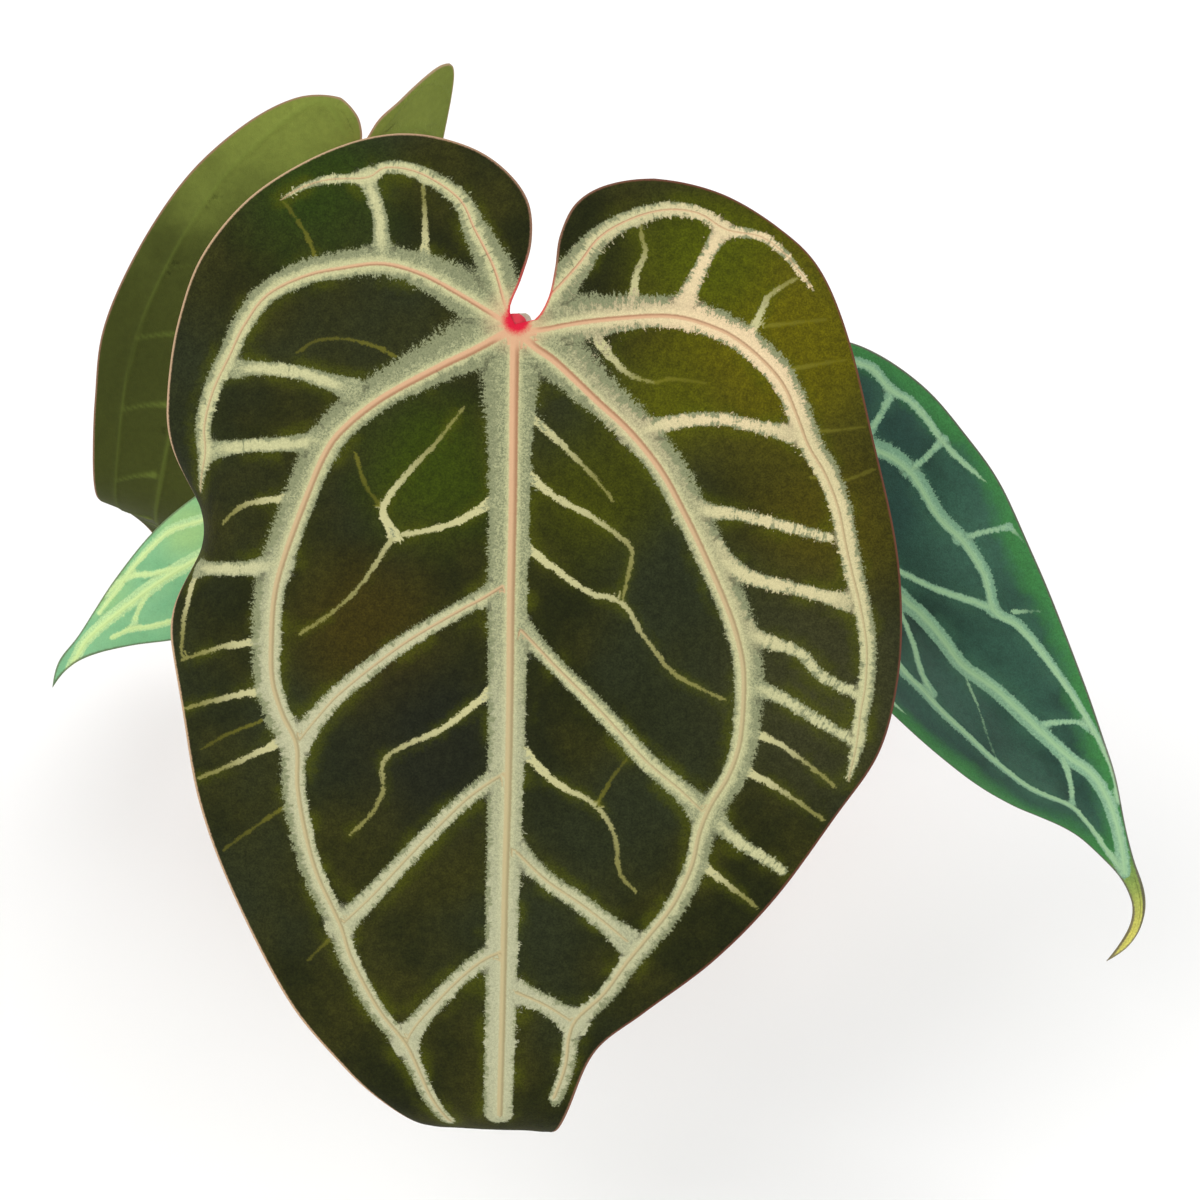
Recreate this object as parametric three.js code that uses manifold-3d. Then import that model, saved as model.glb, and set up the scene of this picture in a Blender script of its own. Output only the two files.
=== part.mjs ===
// A potted anthurium hybrid: four heart-shaped blades on long stalks, a short rooting stem,
// potting mix and a plain clay pot.
// Millimetres, +Z up. The origin is the centre of the pot's underside, and the large blade hangs towards -Y.
import * as THREE from "three";
import { mergeVertices } from "three/addons/utils/BufferGeometryUtils.js";
import Module from "manifold-3d";

const wasm = await Module();
wasm.setup();

// Driving dimensions
const gap = 0.3; // between pieces that touch
const pot = {
  height: 135,
  baseRadius: 50,
  shoulderRadius: 66,
  rimRadius: 75,
  rimHeight: 26,
  rimInnerRadius: 68.5,
  rimTaper: 1.5,
  rimStep: 6,
  wall: 5,
  floor: 7,
  lip: 2,
  drainRadius: 6,
  drainCircle: 26,
  drains: 3,
  segments: 36,
};
const mix = { top: 119, relief: 2.2, rings: 6, segments: 36 };
const stem = { foot: 98, top: 160, sides: 14 };
const root = { radius: 1.9, foot: 108, arch: 1.5, bow: 5, sides: 6, steps: 9 };
const scale = { thickness: 0.8, seat: 6.6, rows: 7, columns: 4 };
const blade = { thickness: 0.9, ridge: 1.5, ridgeFade: 60, foldWidth: 8 };
const stalk = { radius: 2.9, sheath: 1.4, swelling: 0.9, sides: 8, steps: 16 };
const deg = Math.PI / 180;

// Each leaf laid flat: two half outlines, left and right, from the joint round the lobe to the tip.
// x runs across and y towards the lobes.
// joint, along and face place it: the joint, the way to the tip and the way out of the upper face.
// rows: how many rows below the joint, rows in a lobe, and columns across a half.
// bends: [from, over, angle], a turn back of the midrib that starts from mm below the joint and is complete
// over mm further. over is negative in the lobes.
// sways: the same, but the midrib turns sideways in its own plane, to the right where angle is positive.
// folds: how far the left and the right half turn back from the midrib. curve: how much more for each mm out.
// rolls: [side, centre, half length, angle, band], a stretch of one margin that rolls back over that band.
// wave: height, length and phase of the ripple along the margin.
// stalk: the points that the stalk follows from the stem to the joint.
const leaves = [
  {
    name: "front_leaf",
    joint: [0, -210, 328],
    along: [0, -0.5736, -0.8192],
    face: [0, -0.8192, 0.5736],
    rows: [22, 6, 6],
    left: [
      [0, 0], [-1.5, 5], [2, 14], [5, 25], [4, 37], [-3, 47], [-14, 54.5], [-30, 59], [-46, 58], [-64, 51],
      [-82, 39], [-96, 22], [-103, 3], [-106, -16], [-107, -38], [-108, -62], [-106, -90], [-102, -116],
      [-96, -145], [-85, -175], [-68, -206], [-50, -228], [-33, -248], [-18, -268], [-9, -285], [-4, -298],
    ],
    right: [
      [0, 0], [6, 1.5], [10, 8], [12, 17], [13.5, 27], [18.5, 37], [28.5, 43], [44, 45], [63, 41], [80, 31],
      [92.5, 18], [102, -5], [110, -36], [116.5, -66], [118.5, -88], [117, -108], [111, -129], [98, -148],
      [80, -172], [60, -192], [39, -208], [24, -220], [16, -238], [9, -258], [2, -280], [-4, -298],
    ],
    folds: [2, 2],
    curve: 0.0015,
    bends: [[-4, -60, -14], [130, 90, 8], [224, 42, 98]],
    sways: [],
    rolls: [[-1, 61, 36, 78, 30]],
    wave: [1.6, 62, 0.6],
    stalk: [[0, 0, 142], [-1, -12, 160], [0, -100, 262], [0, -196, 318]],
  },
  {
    name: "back_leaf",
    joint: [-64.5, 44.2, 254.2],
    along: [-0.4, -0.237, -0.885],
    face: [0, 0.966, -0.259],
    rows: [18, 5, 5],
    left: [
      [0, 0], [-0.5, 7], [-3, 17], [-13, 31], [-23, 40], [-31, 38], [-39, 18], [-48, -15], [-55, -60],
      [-57, -105], [-52, -150], [-40, -190], [-23, -226], [-9, -252], [0, -268],
    ],
    right: [
      [0, 0], [2, 7], [7, 13], [16, 15.5], [30, 9], [44, -8], [56, -34], [63, -68], [64, -102], [57, -131],
      [46, -164], [35, -202], [18, -232], [7, -252], [0, -268],
    ],
    folds: [-52, 0],
    curve: 0.0006,
    bends: [[128, 70, -68], [215, 50, 40]],
    sways: [],
    rolls: [],
    wave: [1.6, 74, 2.1],
    stalk: [[0, 0, 138], [-6, 9, 156], [-44, 22, 234], [-63, 31, 259]],
  },
  {
    name: "right_leaf",
    joint: [92.1, -142.1, 232.4],
    along: [0.68, -0.419, -0.598],
    face: [0, -0.8192, 0.5736],
    rows: [20, 5, 5],
    left: [
      [0, 0], [-3, 7], [-4, 18], [-9, 28], [-19, 32], [-30, 27], [-40, 14], [-46, -8], [-48, -35], [-48, -62],
      [-47, -85], [-44, -107], [-38, -128], [-26, -148], [-13, -163], [-5, -175], [-2.5, -187], [-1.8, -202],
      [0, -212],
    ],
    right: [
      [0, 0], [4, 7], [8, 18], [17, 28], [28, 30], [39, 24], [46, 10], [50, -10], [49, -30], [46, -50],
      [38, -74], [30, -95], [21, -118], [12, -138], [5, -155], [2.5, -170], [2, -186], [1.5, -202], [0, -212],
    ],
    folds: [50, 4],
    curve: 0.001,
    bends: [[-4, -40, -16], [60, 110, 10]],
    sways: [[136, 30, -22], [178, 34, -72]],
    rolls: [],
    wave: [1, 48, 1.4],
    stalk: [[0, 0, 136], [11, -5, 152], [60, -72, 204], [90, -130, 223]],
  },
  {
    name: "young_leaf",
    joint: [-71.1, -147.8, 224.2],
    along: [-0.85, -0.302, -0.431],
    face: [0, -0.8192, 0.5736],
    rows: [14, 4, 4],
    left: [
      [0, 0], [-1.5, 5], [-3, 11], [-8, 15], [-15, 14], [-21, 7], [-23, -5], [-23, -20], [-21.5, -40],
      [-18.5, -55], [-13, -70], [-8, -82], [-3.5, -93], [-1.8, -102], [0, -110],
    ],
    right: [
      [0, 0], [2, 5], [3.5, 11], [9, 15], [16, 13], [21, 6], [24, -6], [25, -22], [24, -40], [20, -54],
      [14.5, -66], [8.5, -78], [4, -90], [2, -101], [0, -110],
    ],
    folds: [14, 14],
    curve: 0.002,
    bends: [[-4, -30, -14], [20, 80, 14]],
    sways: [[10, 80, 2], [92, 18, 34]],
    rolls: [],
    wave: [0.7, 30, 0.2],
    stalk: [[0, 0, 148], [-12, -6, 163], [-42, -62, 196], [-69, -135, 216]],
  },
];

const vec = (p) => new THREE.Vector3(...p);
const smooth = (x) => {
  const c = Math.min(1, Math.max(0, x));
  return c * c * (3 - 2 * c);
};

// A closed geometry as a manifold-3d solid, turned outwards if its faces point in.
function solidOf(geometry) {
  const bare = new THREE.BufferGeometry().setAttribute("position", geometry.getAttribute("position"));
  bare.setIndex(geometry.index);
  const merged = mergeVertices(bare, 1e-4);
  const all = Array.from(merged.index.array);
  const triVerts = [];
  for (let i = 0; i < all.length; i += 3) {
    const [a, b, c] = all.slice(i, i + 3);
    if (a !== b && b !== c && c !== a) triVerts.push(a, b, c);
  }
  const make = (tris) =>
    new wasm.Manifold(
      new wasm.Mesh({
        numProp: 3,
        vertProperties: new Float32Array(merged.attributes.position.array),
        triVerts: new Uint32Array(tris),
      }),
    );
  const solid = make(triVerts);
  if (solid.volume() > 0) return solid;
  return make(triVerts.reverse());
}

const largest = (solid) => solid.decompose().sort((a, b) => b.volume() - a.volume())[0];

function geometryOf(solid) {
  const mesh = solid.getMesh();
  const points = new Float32Array(mesh.numVert * 3);
  for (let i = 0; i < mesh.numVert; i++) {
    points.set(mesh.vertProperties.subarray(i * mesh.numProp, i * mesh.numProp + 3), i * 3);
  }
  const geometry = new THREE.BufferGeometry();
  geometry.setAttribute("position", new THREE.BufferAttribute(points, 3));
  geometry.setIndex(new THREE.BufferAttribute(new Uint32Array(mesh.triVerts), 1));
  geometry.computeVertexNormals();
  return geometry;
}

// The blade's outline

// One half's outline as two runs of points with y rising: inner up the sinus, outer from the tip to the
// top of the lobe.
function halfOutline(margin) {
  const curve = new THREE.SplineCurve(margin.map((p) => new THREE.Vector2(...p))).getPoints(240);
  const top = curve.reduce((best, p, i) => (p.y > curve[best].y ? i : best), 0);
  const [inner, outer] = [curve.slice(0, top + 1), curve.slice(top).reverse()];
  return { inner, outer, top: curve[top].y, tip: curve.at(-1).y };
}

function acrossAt(run, y) {
  for (let i = 1; i < run.length; i++) {
    const a = run[i - 1];
    const b = run[i];
    if (y <= b.y || i === run.length - 1) {
      const share = b.y === a.y ? 1 : Math.min(1, Math.max(0, (y - a.y) / (b.y - a.y)));
      return a.x + (b.x - a.x) * share;
    }
  }
  return run[0].x;
}

// The blade's form

const turnAt = (turns, s) =>
  turns.reduce((sum, [from, over, angle]) => sum + angle * deg * smooth((s - from) / over), 0);

// The midrib s mm down from the joint: its place, and the ways across and out of the blade there.
function spineAt(leaf, s) {
  const { right, along, face } = axesOf(leaf);
  const headingAt = (at) => {
    const [turn, sway] = [turnAt(leaf.bends, at), turnAt(leaf.sways, at)];
    const down = along.clone().multiplyScalar(Math.cos(turn)).addScaledVector(face, -Math.sin(turn));
    return {
      down: down.clone().multiplyScalar(Math.cos(sway)).addScaledVector(right, Math.sin(sway)),
      across: right.clone().multiplyScalar(Math.cos(sway)).addScaledVector(down, -Math.sin(sway)),
      facing: face.clone().multiplyScalar(Math.cos(turn)).addScaledVector(along, Math.sin(turn)),
    };
  };
  const steps = 60;
  const place = vec(leaf.joint);
  for (let i = 0; i < steps; i++) place.addScaledVector(headingAt(((i + 0.5) * s) / steps).down, s / steps);
  return { place, ...headingAt(s) };
}

// A half's cross-section at r mm out from the midrib, where the half reaches edge mm.
// It folds beside the midrib, curves on and rolls at its margin.
function sectionAt(leaf, side, r, edge, s) {
  const fold = leaf.folds[side < 0 ? 0 : 1] * deg;
  const rolls = leaf.rolls.filter(([rollSide]) => rollSide === side);
  const steps = 24;
  const step = r / steps;
  let across = 0;
  let out = 0;
  for (let i = 0; i < steps; i++) {
    const at = (i + 0.5) * step;
    let lean = fold * Math.min(1, Math.abs(at) / blade.foldWidth) + leaf.curve * at;
    for (const [, centre, half, angle, band] of rolls) {
      const near = smooth(1 - Math.abs(s - centre) / half);
      lean += angle * deg * near * Math.max(0, 1 - (edge - at) / band);
    }
    across += Math.cos(lean) * step;
    out -= Math.sin(lean) * step;
  }
  return { across: across * side, out };
}

// The leaf's own directions at the joint: to the right, along the midrib and out of the upper face.
function axesOf(leaf) {
  const along = vec(leaf.along).normalize();
  const face = vec(leaf.face);
  face.addScaledVector(along, -face.dot(along)).normalize();
  return { right: face.clone().cross(along), along, face };
}

function bladePoint(leaf, side, x, y, edge) {
  const { place, across, facing } = spineAt(leaf, -y);
  const section = sectionAt(leaf, side, x * side, Math.abs(edge), -y);
  const [height, length, phase] = leaf.wave;
  const share = Math.min(1, Math.abs(x) / Math.max(1, Math.abs(edge)));
  const ripple = height * share * share * Math.sin((2 * Math.PI * -y) / length + phase + side);
  return place.addScaledVector(across, section.across).addScaledVector(facing, section.out + ripple);
}

// The middle surface of a blade, as one sheet with a row of points across each half at each height.
function bladeSheet(leaf) {
  const points = [];
  const ridges = [];
  const corners = [];
  const [lowRows, lobeRows, columns] = [leaf.rows[0], leaf.rows[1], leaf.rows[2] + 1];
  for (const side of [-1, 1]) {
    const half = halfOutline(side < 0 ? leaf.left : leaf.right);
    const heights = [];
    for (let i = 0; i <= lowRows; i++) heights.push(half.tip * (1 - i / lowRows));
    for (let i = 1; i <= lobeRows; i++) heights.push(half.top * Math.sin((Math.PI / 2) * (i / lobeRows)));
    const start = points.length;
    for (const y of heights) {
      const outer = acrossAt(half.outer, y);
      const inner = y > 0 ? acrossAt(half.inner, y) : y === half.tip ? outer : 0;
      for (let col = 0; col < columns; col++) {
        const share = (col / (columns - 1)) ** 1.2;
        points.push(bladePoint(leaf, side, inner + (outer - inner) * share, y, outer));
        ridges.push(share === 0 && y <= 0 ? blade.ridge * smooth((y - half.tip) / blade.ridgeFade) : 0);
      }
    }
    for (let row = 0; row + 1 < heights.length; row++) {
      for (let col = 0; col + 1 < columns; col++) {
        const a = start + row * columns + col;
        const quad = [a, a + 1, a + columns + 1, a + columns];
        if (side < 0) quad.reverse();
        corners.push(quad[0], quad[1], quad[2], quad[0], quad[2], quad[3]);
      }
    }
  }
  return { points, ridges, corners };
}

// Turns the sheet into a solid: every point moves to both sides along its normal, and open edges get a wall.
function thicken({ points, ridges, corners }, above, below) {
  const sheet = new THREE.BufferGeometry();
  const numbers = new Float32Array(points.flatMap((p) => p.toArray()));
  sheet.setAttribute("position", new THREE.BufferAttribute(numbers, 3));
  sheet.setAttribute("ridge", new THREE.BufferAttribute(new Float32Array(ridges), 1));
  sheet.setIndex(corners);
  const merged = mergeVertices(sheet, 1e-3);
  const kept = [];
  for (let i = 0; i < merged.index.count; i += 3) {
    const [a, b, c] = [0, 1, 2].map((k) => merged.index.getX(i + k));
    if (a !== b && b !== c && c !== a) kept.push([a, b, c]);
  }
  merged.setIndex(kept.flat());
  merged.computeVertexNormals();
  const at = merged.attributes.position;
  const normal = merged.attributes.normal;
  const ridge = merged.attributes.ridge;
  const placed = [];
  for (const [sign, depth] of [[1, () => above], [-1, (i) => below + ridge.getX(i)]]) {
    for (let i = 0; i < at.count; i++) {
      const p = new THREE.Vector3().fromBufferAttribute(at, i);
      const n = new THREE.Vector3().fromBufferAttribute(normal, i);
      placed.push(...p.addScaledVector(n, sign * depth(i)).toArray());
    }
  }
  const edges = new Map();
  const sides = kept.flatMap(([a, b, c]) => [[a, b], [b, c], [c, a]]);
  for (const [p, q] of sides) edges.set(p + "," + q, [p, q]);
  const faces = kept.flatMap(([a, b, c]) => [a, b, c, a + at.count, c + at.count, b + at.count]);
  for (const [p, q] of edges.values()) {
    if (!edges.has(q + "," + p)) faces.push(p, p + at.count, q, q, p + at.count, q + at.count);
  }
  const closed = new THREE.BufferGeometry();
  closed.setAttribute("position", new THREE.BufferAttribute(new Float32Array(placed), 3));
  closed.setIndex(faces);
  return solidOf(closed);
}

// Rods: stalks and roots

// A closed rod through points, with a radius given as a function of the share of its length.
function rod(points, radiusAt, sides, steps) {
  const curve = new THREE.CatmullRomCurve3(points.map(vec), false, "centripetal");
  const frames = curve.computeFrenetFrames(steps, false);
  const placed = [];
  for (let i = 0; i <= steps; i++) {
    const centre = curve.getPointAt(i / steps);
    for (let k = 0; k < sides; k++) {
      const angle = (2 * Math.PI * k) / sides;
      const p = centre.clone();
      p.addScaledVector(frames.normals[i], radiusAt(i / steps) * Math.cos(angle));
      p.addScaledVector(frames.binormals[i], radiusAt(i / steps) * Math.sin(angle));
      placed.push(...p.toArray());
    }
  }
  const faces = [];
  for (let i = 0; i < steps; i++) {
    for (let k = 0; k < sides; k++) {
      const a = i * sides + k;
      const b = i * sides + ((k + 1) % sides);
      faces.push(a, b, b + sides, a, b + sides, a + sides);
    }
  }
  for (let k = 1; k + 1 < sides; k++) {
    const last = steps * sides;
    faces.push(0, k + 1, k, last, last + k, last + k + 1);
  }
  const geometry = new THREE.BufferGeometry();
  geometry.setAttribute("position", new THREE.BufferAttribute(new Float32Array(placed), 3));
  geometry.setIndex(faces);
  return solidOf(geometry);
}

// A stalk is thick at its sheath, slim along its length, and swells at the joint behind the blade.
const stalkRadius = (share) =>
  stalk.radius + stalk.sheath * (1 - smooth(share / 0.16)) + stalk.swelling * smooth((share - 0.9) / 0.06);

// A slab over the joint, from depth mm below the blade's middle: what it cuts off would reach the blade.
function slabOver(leaf, depth) {
  const { right, along, face } = axesOf(leaf);
  const [side, height] = [30, 14];
  const slab = new THREE.BoxGeometry(side, side, height);
  slab.translate(0, 0, height / 2 - depth);
  slab.applyMatrix4(new THREE.Matrix4().makeBasis(right, along.negate(), face).setPosition(vec(leaf.joint)));
  return solidOf(slab);
}

// The stem, its bud scales and its roots

const stemProfile = [
  [0, stem.foot], [5, stem.foot + 1], [7.5, 112], [8.5, 119], [9.5, 122], [8.6, 125], [9.4, 130], [8.4, 133],
  [8.9, 139], [7.9, 143], [8.3, 148], [7.2, 153], [4, stem.top], [0, stem.top + 1],
];

function stemBody(grown) {
  const points = stemProfile.map(([r, z], i) => {
    const end = i === 0 ? -grown : i === stemProfile.length - 1 ? grown : 0;
    return new THREE.Vector2(r === 0 ? 0 : r + grown, z + end);
  });
  return solidOf(new THREE.LatheGeometry(points, stem.sides).rotateX(Math.PI / 2));
}

// Each root leaves the stem at an angle round it, arches out and goes straight down into the mix.
const roots = [
  { turn: 12, reach: 25, from: 129 },
  { turn: 78, reach: 21, from: 126 },
  { turn: 158, reach: 27, from: 130 },
  { turn: 205, reach: 20, from: 125 },
  { turn: 270, reach: 24, from: 127 },
  { turn: 318, reach: 28, from: 125 },
];

function rootRod({ turn, reach, from }, grown) {
  const [c, s] = [Math.cos(turn * deg), Math.sin(turn * deg)];
  const path = [
    [root.bow, from], [12, from + root.arch], [reach - root.bow, from],
    [reach, from - root.bow - 1], [reach, root.foot - grown],
  ];
  return rod(path.map(([r, z]) => [r * c, r * s, z]), () => root.radius + grown, root.sides, root.steps);
}

// A bud scale: a narrow papery blade that stands up from the stem and leans out, curved round it.
const budScales = [
  { turn: 44, length: 44, from: 144, lean: 10, half: 5.5 },
  { turn: 66, length: 32, from: 139, lean: 24, half: 4 },
];

function scaleBlade({ turn, length, from, lean, half }) {
  const [rows, cols] = [scale.rows, scale.columns];
  const points = [];
  const corners = [];
  for (let i = 0; i <= rows; i++) {
    const v = i / rows;
    const reach = half * Math.pow(Math.sin(Math.PI * (0.16 + 0.84 * v)), 0.8) + 0.25;
    const radius = scale.seat + length * v * Math.sin(lean * deg) * (0.5 + 0.5 * v);
    const height = from + length * v * Math.cos(lean * deg);
    for (let k = 0; k <= cols; k++) {
      const angle = turn * deg + ((k / cols - 0.5) * 2 * reach) / (radius * 0.9 + 4);
      points.push(new THREE.Vector3(radius * Math.cos(angle), radius * Math.sin(angle), height));
    }
  }
  for (let i = 0; i < rows; i++) {
    for (let k = 0; k < cols; k++) {
      const a = i * (cols + 1) + k;
      corners.push(a, a + 1, a + cols + 2, a, a + cols + 2, a + cols + 1);
    }
  }
  const depth = scale.thickness / 2;
  return thicken({ points, ridges: points.map(() => 0), corners }, depth, depth);
}

// The potting mix: a plug that fills the pot, with its top in lumps by a sum of waves, and plain holes
// for the stem and the roots.
const lumps = (x, y) =>
  mix.relief *
  (0.5 * Math.sin(x * 0.31 + 1.3 * Math.sin(y * 0.17)) +
    0.5 * Math.sin(y * 0.37 + 1.7 * Math.sin(x * 0.23 + 1)) -
    0.4 * Math.cos(x * 0.11 + y * 0.13));

function innerRadiusAt(z) {
  const slope = (pot.shoulderRadius - pot.baseRadius) / (pot.height - pot.rimHeight);
  return pot.baseRadius - pot.wall + slope * z;
}

function mixBody() {
  const bottom = pot.floor + gap;
  const shoulder = pot.height - pot.rimHeight;
  const reach = pot.rimInnerRadius - pot.rimTaper - 2 * gap;
  const points = [
    [0, bottom], [innerRadiusAt(bottom) - gap, bottom], [innerRadiusAt(shoulder) - gap, shoulder],
    [reach, shoulder + pot.rimStep], [reach, mix.top - mix.relief],
  ].map((p) => new THREE.Vector2(...p));
  for (let i = mix.rings; i >= 0; i--) points.push(new THREE.Vector2((reach - 1) * (i / mix.rings), mix.top));
  const plug = new THREE.LatheGeometry(points, mix.segments).rotateX(Math.PI / 2);
  const at = plug.attributes.position;
  for (let i = 0; i < at.count; i++) {
    if (at.getZ(i) > mix.top - 1) at.setZ(i, at.getZ(i) + lumps(at.getX(i), at.getY(i)));
  }
  let body = solidOf(plug).subtract(stemBody(gap));
  for (const each of roots) body = body.subtract(rootRod(each, gap));
  return largest(body);
}

// The pot: one turned shell with a collar, and drain holes in its floor.
function potBody() {
  const shoulder = pot.height - pot.rimHeight;
  const profile = [
    [0, 0], [pot.baseRadius - 1.5, 0], [pot.baseRadius, 1.5], [pot.shoulderRadius, shoulder - 2],
    [pot.rimRadius - 2, shoulder], [pot.rimRadius - 0.6, shoulder + 2], [pot.rimRadius, pot.height - pot.lip],
    [pot.rimRadius - pot.lip, pot.height], [pot.rimInnerRadius + pot.lip, pot.height],
    [pot.rimInnerRadius, pot.height - pot.lip], [pot.rimInnerRadius - pot.rimTaper, shoulder + pot.rimStep],
    [innerRadiusAt(shoulder), shoulder], [innerRadiusAt(pot.floor), pot.floor], [0, pot.floor],
  ].map((p) => new THREE.Vector2(...p));
  let body = solidOf(new THREE.LatheGeometry(profile, pot.segments).rotateX(Math.PI / 2));
  for (let i = 0; i < pot.drains; i++) {
    const angle = (2 * Math.PI * (i + 0.25)) / pot.drains;
    const drill = new THREE.CylinderGeometry(pot.drainRadius, pot.drainRadius, 3 * pot.floor, 16);
    drill.rotateX(Math.PI / 2);
    drill.translate(pot.drainCircle * Math.cos(angle), pot.drainCircle * Math.sin(angle), 0);
    body = body.subtract(solidOf(drill));
  }
  return body;
}

// Materials and assembly

const finish = (color, roughness) => new THREE.MeshStandardMaterial({ color, roughness, metalness: 0 });
const finishes = {
  front_leaf: finish(0x34391a, 0.62),
  back_leaf: finish(0x4c5a1e, 0.6),
  right_leaf: finish(0x2f5d45, 0.5),
  young_leaf: finish(0x76a56a, 0.45),
  stalk: finish(0x7d8a4a, 0.5),
  stem: finish(0x6a5a3a, 0.8),
  mix: finish(0x3b2a1e, 0.95),
  pot: finish(0xb9674a, 0.85),
};

const plant = new THREE.Group();
function place(name, solid, material) {
  const mesh = new THREE.Mesh(geometryOf(solid), material);
  mesh.name = name;
  plant.add(mesh);
}

place("pot", potBody(), finishes.pot);
place("potting_mix", mixBody(), finishes.mix);
let trunk = stemBody(0);
for (const each of roots) trunk = trunk.add(rootRod(each, 0));
for (const each of budScales) trunk = trunk.add(scaleBlade(each));
place("stem", trunk, finishes.stem);
const grownStem = stemBody(gap);
for (const leaf of leaves) {
  const sheet = bladeSheet(leaf);
  const half = blade.thickness / 2;
  place(leaf.name + "_blade", thicken(sheet, half, half), finishes[leaf.name]);
  const rough = rod([...leaf.stalk, leaf.joint], stalkRadius, stalk.sides, stalk.steps);
  const clearance = thicken(sheet, half + gap, half + gap).add(slabOver(leaf, half + blade.ridge + gap));
  place(leaf.name + "_stalk", largest(rough.subtract(grownStem).subtract(clearance)), finishes.stalk);
}

export default plant;
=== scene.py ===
# Potted anthurium hybrid: heart-shaped velvet blades with silver veins, a short stem, bark mix and a clay
# pot. Shapes are worked out in mm in the frame's axes, and scaled to metres as they go into a mesh.
import bpy
import numpy as np
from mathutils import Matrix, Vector


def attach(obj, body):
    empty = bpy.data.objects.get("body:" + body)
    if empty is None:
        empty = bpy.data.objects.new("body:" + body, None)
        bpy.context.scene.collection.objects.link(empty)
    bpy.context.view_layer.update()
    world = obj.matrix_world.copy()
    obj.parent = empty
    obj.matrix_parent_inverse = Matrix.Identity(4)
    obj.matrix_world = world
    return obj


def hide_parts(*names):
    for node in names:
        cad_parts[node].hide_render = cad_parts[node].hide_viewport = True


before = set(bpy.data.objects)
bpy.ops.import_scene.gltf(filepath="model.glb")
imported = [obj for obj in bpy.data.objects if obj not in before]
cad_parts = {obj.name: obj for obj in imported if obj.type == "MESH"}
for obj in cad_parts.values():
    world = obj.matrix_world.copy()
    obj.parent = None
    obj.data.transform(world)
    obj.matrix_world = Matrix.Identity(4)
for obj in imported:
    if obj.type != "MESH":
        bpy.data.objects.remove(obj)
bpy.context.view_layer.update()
rng = np.random.default_rng(7)
mm = 0.001         # in metres
deg = np.pi / 180  # in radians


# Camera and lights

view = {
    "pixels": 1200,            # the photograph's side
    "aim": (25.5, -257, 260),  # mm, the point in the middle of the picture
    "distance": 1000,          # mm from there to the lens
    "elevation": 35,           # degrees above the horizon
    "lens": 100,
    "sensor": 36,
}
viewRight = np.array([1.0, 0.0, 0.0])
viewUp = np.array([0, np.sin(view["elevation"] * deg), np.cos(view["elevation"] * deg)])
viewAhead = np.array([0, np.cos(view["elevation"] * deg), -np.sin(view["elevation"] * deg)])


def placeCamera():
    data = bpy.data.cameras.new("camera")
    data.lens = view["lens"]
    data.sensor_width = view["sensor"]
    data.clip_start, data.clip_end = 0.05, 30  # metres
    camera = bpy.data.objects.new("camera", data)
    camera.location = (np.array(view["aim"]) - viewAhead * view["distance"]) * mm
    camera.rotation_euler = ((90 - view["elevation"]) * deg, 0, 0)
    bpy.context.scene.collection.objects.link(camera)
    bpy.context.scene.camera = camera


def photoPixel(points):
    # a point's column and row in the photograph, by its place across, up and ahead of the aim
    away = points - np.array(view["aim"])
    nearness = 1 + (away @ viewAhead) / view["distance"]
    perPixel = view["sensor"] / view["lens"] * view["distance"] / view["pixels"]
    column = view["pixels"] / 2 + away @ viewRight / (perPixel * nearness)
    row = view["pixels"] / 2 - away @ viewUp / (perPixel * nearness)
    return np.stack([column, row], axis=-1)


lamps = {  # place in metres, side in metres, watts, colour
    "windowLight": ((-0.9, -1.1, 1.5), 1.2, 15, (1, 0.99, 0.97)),
    "fillLight": ((1.3, -1.2, 0.9), 1.4, 6, (0.97, 0.99, 1)),
    "backLight": ((0.3, 1.0, 1.5), 1.2, 9, (1, 1, 1)),
}
lampAim = (0, -0.15, 0.2)  # metres, where they all point
roomLight = 0.75           # strength of the white all round


def lightTheRoom():
    world = bpy.data.worlds.new("studio")
    world.use_nodes = True
    background = world.node_tree.nodes["Background"]
    background.inputs["Color"].default_value = (1, 1, 1, 1)
    background.inputs["Strength"].default_value = roomLight
    bpy.context.scene.world = world
    bpy.context.scene.view_settings.view_transform = "Standard"
    for name, (place, side, watts, colour) in lamps.items():
        data = bpy.data.lights.new(name, "AREA")
        data.size, data.energy, data.color = side, watts, colour
        lamp = bpy.data.objects.new(name, data)
        lamp.location = place
        lamp.rotation_euler = (Vector(lampAim) - Vector(place)).to_track_quat("-Z", "Y").to_euler()
        bpy.context.scene.collection.objects.link(lamp)


# Meshes and measures

def putMesh(name, points, faces, paint, attributes=()):
    # points in mm, faces as an array of triangles or quads, attributes as (name, numbers or vectors of the
    # points)
    mesh = bpy.data.meshes.new(name)
    sides = faces.shape[1]
    mesh.vertices.add(len(points))
    mesh.vertices.foreach_set("co", (points * mm).astype(np.float32).ravel())
    mesh.loops.add(faces.size)
    mesh.loops.foreach_set("vertex_index", faces.astype(np.int32).ravel())
    mesh.polygons.add(len(faces))
    mesh.polygons.foreach_set("loop_start", np.arange(0, faces.size, sides, dtype=np.int32))
    mesh.update(calc_edges=True)
    mesh.polygons.foreach_set("use_smooth", np.ones(len(faces), bool))
    for key, numbers in attributes:
        vectors = np.ndim(numbers) == 2
        layer = mesh.attributes.new(key, "FLOAT_VECTOR" if vectors else "FLOAT", "POINT")
        layer.data.foreach_set("vector" if vectors else "value", np.asarray(numbers, np.float32).ravel())
    mesh.materials.append(paint)
    mesh.validate()
    piece = bpy.data.objects.new(name, mesh)
    bpy.context.scene.collection.objects.link(piece)
    return piece


def finishPiece(piece, node):
    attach(piece, "root")
    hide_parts(node)


def smooth(x):  # 0 to 1 with level ends: 3 x squared less 2 x cubed
    c = np.clip(x, 0, 1)
    return c * c * (3 - 2 * c)


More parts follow.
